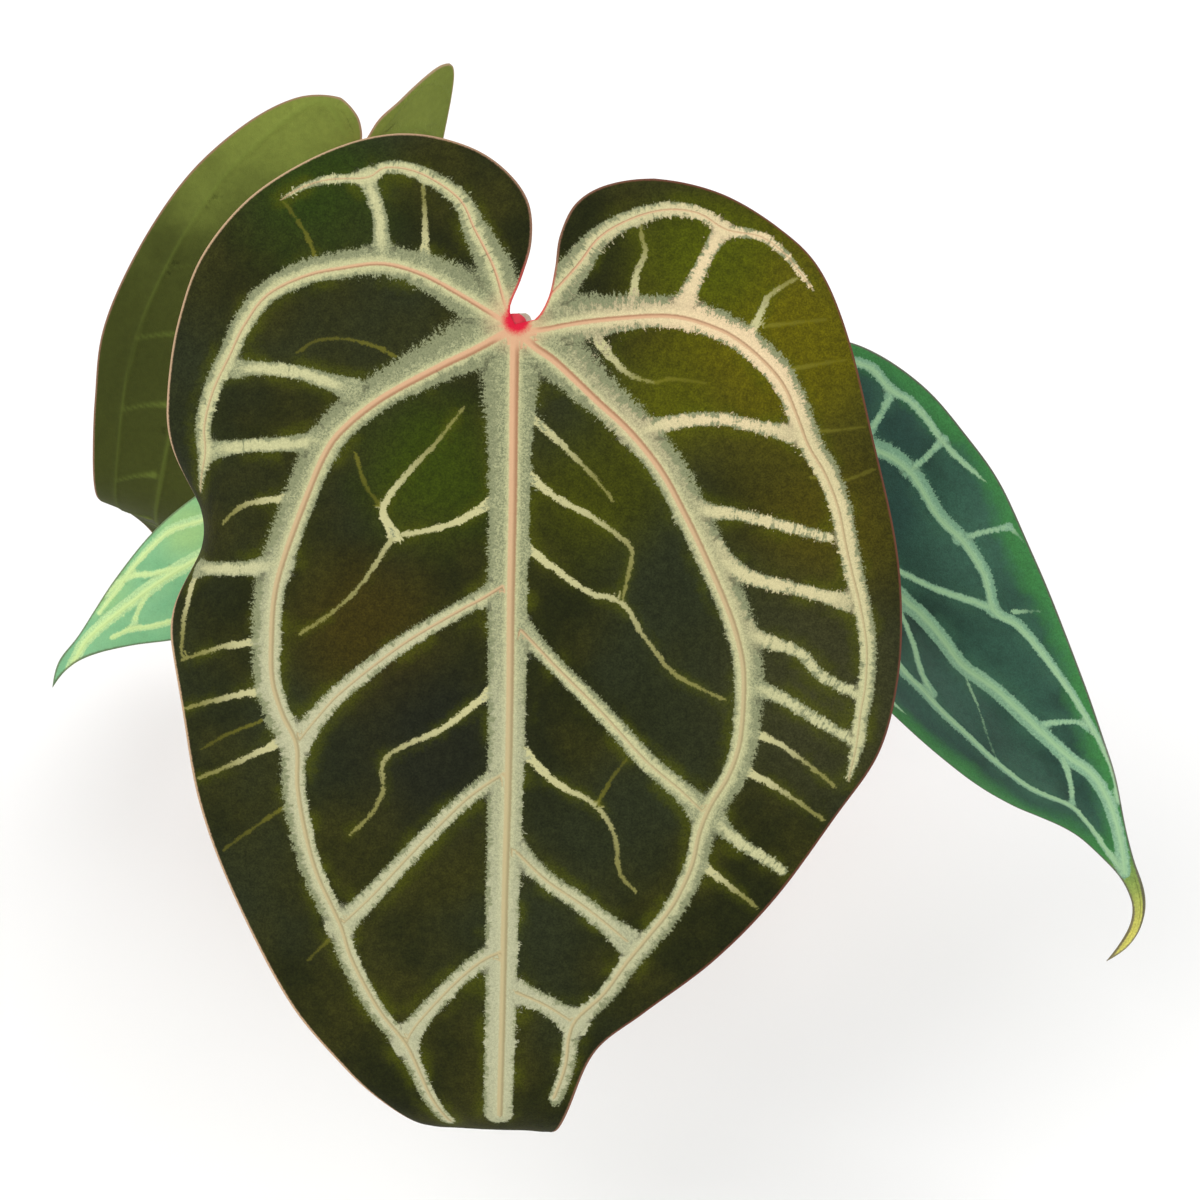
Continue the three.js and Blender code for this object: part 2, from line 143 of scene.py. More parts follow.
def unit(v):  # a vector over its length
    v = np.asarray(v, float)
    return v / np.linalg.norm(v, axis=-1, keepdims=True)


def wholeFaces(faces):  # the faces that have three different corners
    a, b, c = faces.T
    return faces[(a != b) & (b != c) & (c != a)]


def weld(points, faces, step=0.002):
    # points that round to the same place, in steps of some mm, become one: which points are kept, the faces
    # that still have three corners, and each old point's new number
    cells = np.round(points / step).astype(np.int64)
    _, first, number = np.unique(cells, axis=0, return_index=True, return_inverse=True)
    number = number.ravel()
    return first, wholeFaces(number[faces]), number


def pointNormals(points, triangles):
    # the sum of the crossed edges of every face round a point, made one long
    a, b, c = (points[triangles[:, k]] for k in range(3))
    crossed = np.cross(b - a, c - a)
    total = np.zeros_like(points)
    for axis in range(3):
        for corner in range(3):
            total[:, axis] += np.bincount(triangles[:, corner], crossed[:, axis], len(points))
    return unit(total + 1e-12)


def gridFaces(rows, columns, start=0, wrap=False):  # triangles of a grid, facing the way columns cross rows
    row, column = np.mgrid[0:rows - 1, 0:columns if wrap else columns - 1]
    a = start + row * columns + column
    b = start + row * columns + (column + 1) % columns
    up = columns
    quads = np.stack([a, b, b + up, a + up], axis=-1).reshape(-1, 4)
    return np.concatenate([quads[:, [0, 1, 2]], quads[:, [0, 2, 3]]])


def splineThrough(points, count):
    # a curve through points, even in its parameter: on each span a cubic whose end slopes are
    # half the way from the point before to the point after
    p = np.asarray(points, float)
    t = np.linspace(0, len(p) - 1, count)
    i = np.minimum(t.astype(int), len(p) - 2)
    w = (t - i)[:, None]
    p0, p1, p2, p3 = p[np.maximum(i - 1, 0)], p[i], p[i + 1], p[np.minimum(i + 2, len(p) - 1)]
    v0, v1 = (p2 - p0) / 2, (p3 - p1) / 2
    return (2 * p1 - 2 * p2 + v0 + v1) * w**3 + (-3 * p1 + 3 * p2 - 2 * v0 - v1) * w**2 + v0 * w + p1


farAway = 14.0  # mm; places further than this from a path aren't measured
atOnce = 6000   # places measured together


def measureFrom(path, x, y):
    # for every place near a path: how far it is, on which side, and how far along the path. The nearest
    # point of each straight span is the foot of the perpendicular, kept on the span.
    start, span = path[:-1], np.diff(path, axis=0)
    length = np.maximum(np.hypot(span[:, 0], span[:, 1]), 1e-6)
    before = np.concatenate([[0], np.cumsum(length)[:-1]])
    low, high = path.min(0) - farAway, path.max(0) + farAway
    found = np.nonzero((x > low[0]) & (x < high[0]) & (y > low[1]) & (y < high[1]))[0]
    distance, offset, along = np.full(len(x), farAway), np.full(len(x), farAway), np.zeros(len(x))
    for chunk in np.array_split(found, len(found) // atOnce + 1):
        dx, dy = x[chunk, None] - start[:, 0], y[chunk, None] - start[:, 1]
        share = np.clip((dx * span[:, 0] + dy * span[:, 1]) / length**2, 0, 1)
        gap = np.hypot(dx - share * span[:, 0], dy - share * span[:, 1])
        best = np.argmin(gap, axis=1)
        each = np.arange(len(chunk))
        turn = span[best, 0] * dy[each, best] - span[best, 1] * dx[each, best]
        distance[chunk] = np.minimum(gap[each, best], farAway)
        offset[chunk] = np.where(turn < 0, -1, 1) * distance[chunk]
        along[chunk] = before[best] + share[each, best] * length[best]
    return distance, offset, along, before[-1] + length[-1]


# Materials

def tint(red, green, blue):  # a colour as it is seen, 0 to 255, turned into light
    c = np.array([red, green, blue]) / 255
    return (*np.where(c < 0.04045, c / 12.92, ((c + 0.055) / 1.055) ** 2.4), 1.0)


class Paint:  # a material and the few node steps that its pattern is made from
    def __init__(self, name, roughness=0.6, sheen=0.0, specular=0.4):
        self.material = bpy.data.materials.new(name)
        self.material.use_nodes = True
        self.tree = self.material.node_tree
        self.surface = self.tree.nodes["Principled BSDF"]
        self.surface.inputs["Roughness"].default_value = roughness
        self.surface.inputs["Specular IOR Level"].default_value = specular
        self.surface.inputs["Sheen Weight"].default_value = sheen
        self.surface.inputs["Sheen Roughness"].default_value = 0.4
        self.place = self.tree.nodes.new("ShaderNodeTexCoord").outputs["Object"]

    def node(self, kind, inputs, **settings):
        made = self.tree.nodes.new("ShaderNode" + kind)
        for key, setting in settings.items():
            setattr(made, key, setting)
        for key, given in inputs.items():
            if isinstance(given, bpy.types.NodeSocket):
                self.tree.links.new(given, made.inputs[key])
            else:
                made.inputs[key].default_value = given
        return made

    def attribute(self, name, vector=False):
        made = self.node("Attribute", {}, attribute_name=name)
        return made.outputs["Vector" if vector else "Fac"]

    def calc(self, operation, a, b=0.0, c=0.0):
        return self.node("Math", {0: a, 1: b, 2: c}, operation=operation).outputs[0]

    def step(self, given, low, high, atLow=0.0, atHigh=1.0):  # an even passage from atLow to atHigh
        inputs = {"Value": given, "From Min": low, "From Max": high, "To Min": atLow, "To Max": atHigh}
        return self.node("MapRange", inputs, interpolation_type="SMOOTHSTEP").outputs["Result"]

    def noise(self, scale, detail=2.0, roughness=0.5, place=None):
        inputs = {"Vector": place or self.place, "Scale": scale, "Detail": detail, "Roughness": roughness}
        return self.node("TexNoise", inputs).outputs["Fac"]

    def cells(self, scale):  # how far a place is from the middle of its cell
        return self.node("TexVoronoi", {"Vector": self.place, "Scale": scale}).outputs["Distance"]

    def stretched(self, by, place=None):  # the place, or another vector, times a number for each axis
        made = self.node("VectorMath", {0: place or self.place, 1: by}, operation="MULTIPLY")
        return made.outputs["Vector"]

    def blend(self, share, first, second, mode="MIX"):
        made = self.node("Mix", {0: share, 6: first, 7: second}, data_type="RGBA", blend_type=mode)
        return made.outputs[2]

    def cloud(self, colour, tone, noise, low, high, most=1.0):  # a colour that turns to a tone by a noise
        return self.blend(self.step(self.noise(*noise), low, high, 0.0, most), colour, tone)

    def bump(self, height, depth, over=None):
        inputs = {"Height": height, "Distance": depth, "Strength": 1.0}
        if over is not None:
            inputs["Normal"] = over
        return self.node("Bump", inputs).outputs["Normal"]

    def finish(self, colour, roughness=None, normal=None):
        self.tree.links.new(colour, self.surface.inputs["Base Color"])
        if roughness is not None:
            self.tree.links.new(roughness, self.surface.inputs["Roughness"])
        if normal is not None:
            self.tree.links.new(normal, self.surface.inputs["Normal"])
        return self.material


# The blades' form, as the CAD part has it

blade = {  # mm
    "thickness": 0.9,
    "foldWidth": 8,    # from the midrib, over which a half leans back
    "edge": 0.45,      # the margin's rounding
    "edgeStrip": 0.3,  # the share of a narrow half that it takes at most
    "tipRipple": 25,   # from the tip, over which the ripple grows
}

# Of each leaf, in mm and degrees: the joint, the way to the tip and the way out of the upper face; the last
# run, over which its middle goes over to the tip's x; rows below and above the joint, and columns of a half
# on the upper and the under side; two half outlines from the joint round the lobe to the tip, x across and
# y towards the lobes; folds beside the midrib, and the lean for each mm out in radians; bends back and sways
# to the side (start, run, angle); rolls of the margin (side, middle, half length, angle, width); its ripple
# (height, length, phase); the stalk's route.
leaves = {
    "front_leaf": {
        "joint": (0, -210, 328), "along": (0, -0.5736, -0.8192), "face": (0, -0.8192, 0.5736),
        "tipRun": 298 / 22, "rows": (232, 50), "columns": (100, 60),
        "left": [
            (0, 0), (-1.5, 5), (2, 14), (5, 25), (4, 37), (-3, 47), (-14, 54.5), (-30, 59), (-46, 58),
            (-64, 51), (-82, 39), (-96, 22), (-103, 3), (-106, -16), (-107, -38), (-108, -62), (-106, -90),
            (-102, -116), (-96, -145), (-85, -175), (-68, -206), (-50, -228), (-33, -248), (-18, -268),
            (-9, -285), (-4, -298),
        ],
        "right": [
            (0, 0), (6, 1.5), (10, 8), (12, 17), (13.5, 27), (18.5, 37), (28.5, 43), (44, 45), (63, 41),
            (80, 31), (92.5, 18), (102, -5), (110, -36), (116.5, -66), (118.5, -88), (117, -108),
            (111, -129), (98, -148), (80, -172), (60, -192), (39, -208), (24, -220), (16, -238), (9, -258),
            (2, -280), (-4, -298),
        ],
        "folds": (2, 2), "curve": 0.0015,
        "bends": [(-4, -60, -14), (130, 90, 8), (224, 42, 98)], "sways": [],
        "rolls": [(-1, 61, 36, 78, 30)], "wave": (1.6, 62, 0.6),
        "stalk": [(0, 0, 142), (-1, -12, 160), (0, -100, 262), (0, -196, 318)],
    },
    "back_leaf": {
        "joint": (-64.5, 44.2, 254.2), "along": (-0.4, -0.237, -0.885), "face": (0, 0.966, -0.259),
        "tipRun": 268 / 18, "rows": (190, 44), "columns": (50, 50),
        "left": [
            (0, 0), (-0.5, 7), (-3, 17), (-13, 31), (-23, 40), (-31, 38), (-39, 18), (-48, -15), (-55, -60),
            (-57, -105), (-52, -150), (-40, -190), (-23, -226), (-9, -252), (0, -268),
        ],
        "right": [
            (0, 0), (2, 7), (7, 13), (16, 15.5), (30, 9), (44, -8), (56, -34), (63, -68), (64, -102),
            (57, -131), (46, -164), (35, -202), (18, -232), (7, -252), (0, -268),
        ],
        "folds": (-52, 0), "curve": 0.0006,
        "bends": [(128, 70, -68), (215, 50, 40)], "sways": [],
        "rolls": [], "wave": (1.6, 74, 2.1),
        "stalk": [(0, 0, 138), (-6, 9, 156), (-44, 22, 234), (-63, 31, 259)],
    },
    "right_leaf": {
        "joint": (92.1, -142.1, 232.4), "along": (0.68, -0.419, -0.598), "face": (0, -0.8192, 0.5736),
        "tipRun": 212 / 20, "rows": (210, 44), "columns": (62, 22),
        "left": [
            (0, 0), (-3, 7), (-4, 18), (-9, 28), (-19, 32), (-30, 27), (-40, 14), (-46, -8), (-48, -35),
            (-48, -62), (-47, -85), (-44, -107), (-38, -128), (-26, -148), (-13, -163), (-5, -175),
            (-2.5, -187), (-1.8, -202), (0, -212),
        ],
        "right": [
            (0, 0), (4, 7), (8, 18), (17, 28), (28, 30), (39, 24), (46, 10), (50, -10), (49, -30),
            (46, -50), (38, -74), (30, -95), (21, -118), (12, -138), (5, -155), (2.5, -170), (2, -186),
            (1.5, -202), (0, -212),
        ],
        "folds": (50, 4), "curve": 0.001,
        "bends": [(-4, -40, -16), (60, 110, 10)], "sways": [(136, 30, -22), (178, 34, -72)],
        "rolls": [], "wave": (1, 48, 1.4),
        "stalk": [(0, 0, 136), (11, -5, 152), (60, -72, 204), (90, -130, 223)],
    },
    "young_leaf": {
        "joint": (-71.1, -147.8, 224.2), "along": (-0.85, -0.302, -0.431), "face": (0, -0.8192, 0.5736),
        "tipRun": 110 / 14, "rows": (130, 30), "columns": (44, 18),
        "left": [
            (0, 0), (-1.5, 5), (-3, 11), (-8, 15), (-15, 14), (-21, 7), (-23, -5), (-23, -20), (-21.5, -40),
            (-18.5, -55), (-13, -70), (-8, -82), (-3.5, -93), (-1.8, -102), (0, -110),
        ],
        "right": [
            (0, 0), (2, 5), (3.5, 11), (9, 15), (16, 13), (21, 6), (24, -6), (25, -22), (24, -40),
            (20, -54), (14.5, -66), (8.5, -78), (4, -90), (2, -101), (0, -110),
        ],
        "folds": (14, 14), "curve": 0.002,
        "bends": [(-4, -30, -14), (20, 80, 14)], "sways": [(10, 80, 2), (92, 18, 34)],
        "rolls": [], "wave": (0.7, 30, 0.2),
        "stalk": [(0, 0, 148), (-12, -6, 163), (-42, -62, 196), (-69, -135, 216)],
    },
}


def axesOf(leaf):  # to the right, along the midrib and out of the upper face
    along = unit(leaf["along"])
    face = np.array(leaf["face"], float)
    face = unit(face - along * (face @ along))
    return np.cross(face, along), along, face


def turnAt(turns, s):  # the sum of the turns by s mm down, each growing evenly from its start over its run
    return sum((angle * deg * smooth((s - start) / over) for start, over, angle in turns), np.zeros_like(s))


def headingAt(leaf, s):
    # the midrib turns back by the sum of its bends and sideways by the sum of its sways
    right, along, face = axesOf(leaf)
    turn, sway = (turnAt(leaf[key], s)[:, None] for key in ("bends", "sways"))
    down = np.cos(turn) * along - np.sin(turn) * face
    return (np.cos(sway) * down + np.sin(sway) * right, np.cos(sway) * right - np.sin(sway) * down,
            np.cos(turn) * face + np.sin(turn) * along)


def spineAt(leaf, s, fine=0.25):
    # the midrib's place s mm down from the joint: its heading, summed from the joint
    marks = np.arange(-80, 320, fine)
    down = headingAt(leaf, marks + fine / 2)[0] * fine
    walked = np.concatenate([np.zeros((1, 3)), np.cumsum(down, axis=0)[:-1]])
    zero = np.argmin(np.abs(marks))
    walked += np.array(leaf["joint"]) - walked[zero]
    return np.stack([np.interp(s, marks, walked[:, k]) for k in range(3)], axis=-1)


def sectionAt(leaf, side, r, edge, s, steps=32):
    # a half's cross-section: it leans back by its fold within a few mm of the midrib, by its curve for each
    # mm out and by its rolls towards the margin, and the lean is summed on the way out
    step = r / steps
    across, out = np.zeros_like(r), np.zeros_like(r)
    fold = leaf["folds"][0 if side < 0 else 1] * deg
    for i in range(steps):
        at = (i + 0.5) * step
        lean = fold * np.minimum(1, np.abs(at) / blade["foldWidth"]) + leaf["curve"] * at
        for rollSide, centre, half, angle, band in leaf["rolls"]:
            if rollSide == side:
                near = smooth(1 - np.abs(s - centre) / half)
                lean = lean + angle * deg * near * np.maximum(0, 1 - (edge - at) / band)
        across += np.cos(lean) * step
        out -= np.sin(lean) * step
    return across * side, out


def halfGrid(leaf, side, columns):
    # rows from the tip to the joint and on up the lobe, columns from the midrib or sinus edge out to the
    # margin; the last strip beside an edge is as wide as the edge's rounding
    curve = splineThrough(leaf["left" if side < 0 else "right"], 961)
    top = np.argmax(curve[:, 1])
    inner, outer = curve[:top + 1], curve[top:][::-1]
    tip, lowRows, lobeRows = curve[-1, 1], *leaf["rows"]
    low = tip * (1 - np.arange(lowRows + 1) / lowRows)
    lobe = curve[top, 1] * np.sin(np.pi / 2 * np.arange(1, lobeRows + 1) / lobeRows)
    heights = np.concatenate([low, lobe])
    reach = np.interp(heights, np.maximum.accumulate(outer[:, 1]), outer[:, 0])
    towardsTip = np.clip(1 - (heights - tip) / leaf["tipRun"], 0, 1)
    start = np.where(heights > 0, np.interp(heights, np.maximum.accumulate(inner[:, 1]), inner[:, 0]),
                     curve[-1, 0] * towardsTip)
    width = np.abs(reach - start)
    strip = np.minimum(blade["edgeStrip"], blade["edge"] / np.maximum(width, 1e-3))
    share = np.linspace(0, 1, columns - 2)[None, :] * (1 - 2 * strip[:, None]) + strip[:, None]
    share = np.concatenate([np.zeros((len(heights), 1)), share, np.ones((len(heights), 1))], axis=1)
    x = start[:, None] + (reach - start)[:, None] * share
    y = np.repeat(heights[:, None], columns, axis=1)
    return x, y, np.repeat(reach[:, None], columns, axis=1), share


def bladePoints(leaf, side, x, y, edge, share):
    # the midrib's place, plus the section across it, plus a ripple that grows to the margin
    shape = x.shape
    x, y, edge, share = (a.ravel() for a in (x, y, edge, share))
    _, across, facing = headingAt(leaf, -y)
    run, out = sectionAt(leaf, side, x * side, np.abs(edge), -y)
    height, length, phase = leaf["wave"]
    share = np.where(y > 0, np.minimum(1, np.abs(x) / np.maximum(1, np.abs(edge))), share)
    fade = smooth((y - y.min()) / blade["tipRipple"])
    ripple = height * fade * share**2 * np.sin(2 * np.pi * -y / length + phase + side)
    points = spineAt(leaf, -y) + across * run[:, None] + facing * (out + ripple)[:, None]
    return points.reshape(*shape, 3)


def sheetOf(leaf, columns):
    # both halves as one sheet: flat places, points in the frame, faces and edge strips
    flat, points, faces, borders, start = [], [], [], [], 0
    for side in (-1, 1):
        x, y, edge, share = halfGrid(leaf, side, columns)
        placed = bladePoints(leaf, side, x, y, edge, share)
        if side > 0:
            placed[:leaf["rows"][0] + 1, 0] = firstHalf[:leaf["rows"][0] + 1, 0]
        firstHalf = placed
        rows = len(x)
        grid = gridFaces(rows, columns, start)
        faces.append(grid if side > 0 else grid[:, ::-1])
        number = start + np.arange(rows * columns).reshape(rows, columns)
        outer, inner = number[:, -1], number[leaf["rows"][0]:, 0]
        borders += [outer, inner[::-1]] if side > 0 else [outer[::-1], inner]
        flat.append(np.stack([x.ravel(), y.ravel()], axis=-1))
        points.append(placed.reshape(-1, 3))
        start += rows * columns
    return np.concatenate(flat), np.concatenate(points), np.concatenate(faces), borders


# The veins

# What a vein of each kind is like, in mm: half its pale band at its start and end, half its raised line at
# its start and end, the share by which its outer side is wider, and how much further its fringe goes there.
# Thin kinds have no band: half their line, and how strongly they show.
veinKinds = {
    "midrib": {"band": (5.4, 3.8), "line": (1.4, 0.85), "outer": 0.1, "fringe": 3.0},
    "main": {"band": (4.2, 1.4), "line": (1.15, 0.45), "outer": 0.25, "fringe": 5.0},
    "arch": {"band": (3.9, 1.4), "line": (0.8, 0.2), "outer": 0.15, "fringe": 3.5},
    "lobe": {"band": (3.2, 0.5), "line": (0.45, 0.1), "outer": 0.0, "fringe": 1.0},
    "side": {"band": (1.4, 2.5), "line": (0.45, 0.3), "outer": 0.0, "fringe": 1.4},
    "rung": {"band": (1.7, 1.2), "line": (0.0, 0.0), "outer": 0.0, "fringe": 0.8},
    "slim": {"band": (1.4, 1.0), "line": (0.0, 0.0), "outer": 0.0, "fringe": 0.4},
    "thin": {"thin": (1.0, 0.5), "shows": 0.95},
    "faint": {"thin": (0.6, 0.4), "shows": 0.4},
}

# The veins' courses on the photograph, column and row, each from its thicker end
frontVeins = [
    ("midrib", [(515, 325), (514, 400), (513, 500), (511, 600), (510, 700), (508, 800), (505, 900),
                (503, 1000), (500, 1115)]),
    ("lobe", [(513, 327), (505, 305), (494, 268), (475, 230), (459, 199), (421, 174), (387, 168), (367, 178),
              (329, 180), (302, 188), (283, 199)]),
    ("arch", [(515, 328), (505, 322), (459, 294), (421, 274), (383, 264), (344, 268), (306, 276), (268, 295),
              (245, 325), (230, 356), (214, 390), (205, 425), (206, 455), (203, 490)]),
    ("main", [(515, 328), (475, 350), (440, 367), (383, 398), (344, 429), (325, 455), (306, 500), (285, 557),
              (275, 596), (272, 640), (273, 680), (283, 714), (297, 745), (298, 787), (306, 833),
              (318, 875), (341, 925), (352, 959), (379, 1009), (406, 1043), (421, 1074), (432, 1097),
              (450, 1130)]),
    ("rung", [(325, 440), (292, 444), (260, 445), (212, 450)]),
    ("rung", [(352, 390), (325, 381), (299, 373), (268, 369), (237, 369)]),
    ("faint", [(394, 356), (375, 346), (344, 339), (318, 341), (299, 352)]),
    ("rung", [(383, 260), (381, 235), (379, 214), (367, 178)]),
    ("thin", [(425, 262), (425, 222), (423, 184)]),
    ("faint", [(314, 253), (306, 233), (285, 203)]),
    ("side", [(503, 586), (480, 600), (459, 611), (402, 645), (344, 690), (320, 715), (299, 741)]),
    ("side", [(503, 774), (480, 789), (459, 806), (413, 852), (372, 896), (341, 925)]),
    ("side", [(500, 952), (480, 962), (452, 986), (417, 1024), (406, 1043)]),
    ("thin", [(490, 503), (470, 515), (452, 524), (420, 532), (396, 536), (387, 547), (360, 586), (329, 615),
              (302, 632)]),
    ("thin", [(396, 536), (383, 509), (406, 475), (432, 448), (445, 432), (462, 410)]),
    ("faint", [(356, 455), (366, 485), (383, 509)]),
    ("thin", [(494, 688), (470, 708), (440, 730), (398, 749), (383, 764), (383, 791), (371, 814),
              (352, 833)]),
    ("thin", [(295, 498), (270, 500), (245, 505), (226, 522)]),
    ("rung", [(283, 562), (262, 567), (240, 569), (201, 569)]),
    ("thin", [(201, 569), (193, 588), (188, 607), (182, 653)]),
    ("thin", [(268, 642), (230, 645), (205, 652), (184, 659)]),
    ("thin", [(268, 691), (237, 695), (184, 709)]),
    ("faint", [(260, 722), (230, 734), (203, 749)]),
    ("thin", [(288, 738), (260, 752), (233, 764), (200, 778)]),
    ("faint", [(296, 800), (268, 818), (226, 848)]),
    ("faint", [(345, 930), (329, 940), (310, 959)]),
    ("lobe", [(518, 328), (530, 318), (546, 300), (577, 266), (600, 237), (634, 218), (668, 210), (699, 214),
              (726, 230), (760, 237), (783, 253), (799, 272), (812, 289)]),
    ("arch", [(518, 330), (540, 330), (577, 323), (622, 318), (665, 316), (695, 321), (730, 335), (760, 358),
              (783, 385), (797, 417), (808, 446), (825, 475), (838, 509), (845, 543), (852, 574),
              (860, 607), (866, 645), (865, 684), (860, 714), (856, 745), (848, 779)]),
    ("main", [(517, 331), (535, 347), (557, 363), (596, 400), (630, 432), (661, 471), (684, 513), (703, 552),
              (724, 600), (736, 634), (743, 668), (743, 707), (739, 745), (728, 776), (710, 806),
              (699, 833), (691, 867), (672, 906), (645, 940), (626, 963), (603, 994), (577, 1018),
              (569, 1036), (565, 1066), (554, 1097)]),
    ("side", [(521, 630), (540, 650), (557, 668), (603, 714), (645, 760), (680, 790), (703, 812)]),
    ("side", [(517, 852), (535, 870), (550, 883), (588, 909), (626, 940)]),
    ("side", [(517, 992), (546, 1005), (573, 1022)]),
    ("thin", [(524, 413), (540, 425), (557, 440), (588, 471), (611, 498)]),
    ("thin", [(527, 474), (557, 498), (596, 520), (630, 547), (628, 574), (622, 603)]),
    ("thin", [(524, 546), (550, 565), (588, 592), (622, 603), (642, 634), (668, 668), (684, 680),
              (722, 699)]),
    ("thin", [(524, 752), (557, 783), (596, 806), (615, 837), (619, 871), (634, 890)]),
    ("faint", [(596, 806), (611, 779), (626, 760)]),
    ("rung", [(632, 434), (672, 423), (714, 419), (749, 425), (790, 434)]),
    ("slim", [(688, 509), (737, 515), (776, 524), (828, 538)]),
    ("rung", [(714, 553), (749, 577), (791, 588), (846, 602)]),
    ("slim", [(742, 630), (768, 642), (799, 653), (821, 676), (858, 695)]),
    ("slim", [(748, 684), (783, 699), (814, 718), (852, 741)]),
    ("thin", [(748, 730), (787, 749), (833, 785)]),
    ("thin", [(740, 768), (776, 787), (821, 818)]),
    ("slim", [(712, 817), (737, 841), (760, 856), (783, 871)]),
    ("thin", [(700, 864), (726, 883), (756, 907)]),
    ("rung", [(683, 308), (691, 290), (699, 272), (712, 247), (722, 230)]),
    ("thin", [(632, 306), (636, 276), (645, 253), (642, 240), (640, 222)]),
    ("thin", [(749, 336), (764, 306), (770, 295), (795, 279)]),
    ("faint", [(783, 371), (818, 364), (844, 360)]),
    ("faint", [(767, 326), (795, 323), (823, 320)]),
    ("faint", [(797, 430), (828, 431), (862, 427)]),
    ("faint", [(812, 478), (845, 480), (872, 470)]),
    ("thin", [(600, 343), (613, 360), (632, 376), (655, 383)]),
    ("faint", [(655, 383), (672, 379), (703, 383)]),
]

rightVeins = [
    ("midrib", [(800, 470), (850, 535), (902, 596), (920, 612), (943, 638), (963, 664), (994, 687),
                (1024, 715), (1045, 735), (1068, 756), (1091, 773), (1106, 796), (1114, 817), (1121, 845),
                (1125, 872)]),
    ("main", [(802, 466), (840, 449), (877, 451), (910, 473), (938, 517), (963, 542), (984, 576), (994, 611),
              (1017, 626), (1040, 652), (1070, 693), (1088, 722), (1101, 745), (1111, 768), (1117, 800)]),
    ("arch", [(800, 462), (812, 410), (828, 378), (848, 364), (871, 369), (889, 389), (910, 402), (928, 422),
              (943, 443), (963, 463), (984, 481)]),
    ("side", [(872, 560), (902, 573), (933, 588), (979, 604), (994, 611)]),
    ("main", [(802, 478), (835, 545), (870, 615), (902, 666), (922, 687), (943, 710), (973, 738), (994, 758),
              (1030, 786), (1070, 804), (1086, 819), (1106, 847), (1121, 868)]),
    ("side", [(892, 586), (905, 620), (915, 646), (922, 671), (933, 692)]),
    ("thin", [(952, 650), (963, 666), (979, 707), (991, 743), (999, 761)]),
    ("rung", [(1036, 727), (1052, 723), (1075, 722), (1087, 727)]),
    ("rung", [(1060, 750), (1070, 779), (1073, 802)]),
    ("rung", [(891, 392), (882, 412), (869, 432)]),
    ("rung", [(943, 440), (925, 458), (907, 473)]),
    ("rung", [(958, 540), (984, 532), (1009, 527)]),
    ("thin", [(1009, 527), (1022, 540)]),
    ("thin", [(1015, 612), (1037, 611)]),
    ("arch", [(800, 476), (790, 530), (812, 600), (850, 655), (880, 688), (905, 712)]),
    ("lobe", [(801, 464), (793, 430), (800, 396)]),
]

youngVeins = [
    ("midrib", [(310, 500), (270, 520), (230, 543), (191, 563), (157, 584), (126, 607), (100, 628), (86, 642),
                (76, 660), (70, 680)]),
    ("main", [(308, 497), (275, 500), (240, 508), (203, 521), (174, 530), (157, 543), (136, 565), (118, 590),
              (100, 613)]),
    ("side", [(185, 566), (153, 574), (127, 578), (109, 593)]),
    ("main", [(308, 506), (270, 545), (225, 590), (190, 612), (172, 620), (149, 626), (132, 628),
              (112, 637)]),
    ("rung", [(152, 588), (140, 607), (134, 626)]),
    ("rung", [(222, 548), (205, 575), (196, 606)]),
    ("rung", [(250, 532), (238, 518), (222, 514)]),
]


leastSpread = 36  # square pixels, of the bell curve round a pixel


def leafPlaces(pixels, flat, points, normals, lowest):
    # where photograph pixels lie on the flat leaf: round each pixel a plane is laid through the flat places
    # of the points seen near it, weighted by a bell curve, and read at the pixel
    toLens = np.array(view["aim"]) - viewAhead * view["distance"] - points
    seen = (np.sum(toLens * normals, axis=1) > 0) & (flat[:, 1] > lowest)
    seen &= np.arange(len(flat)) % 3 == 0
    at, known = photoPixel(points[seen]), flat[seen]
    pixels = np.asarray(pixels, float)
    du, dv = at[:, 0] - pixels[:, :1], at[:, 1] - pixels[:, 1:]
    gap = du**2 + dv**2
    spread = np.maximum(gap.min(axis=1, keepdims=True), leastSpread)
    weight = np.exp(-gap / (2 * spread))
    terms = np.stack([np.ones_like(du), du, dv])
    square = np.einsum("amn,bmn,mn->mab", terms, terms, weight) + np.eye(3) * 1e-9
    sums = np.einsum("amn,mn,nk->mak", terms, weight, known)
    return np.linalg.solve(square, sums)[:, 0]


noVein = 12.0  # mm, the distance that stands for no vein near


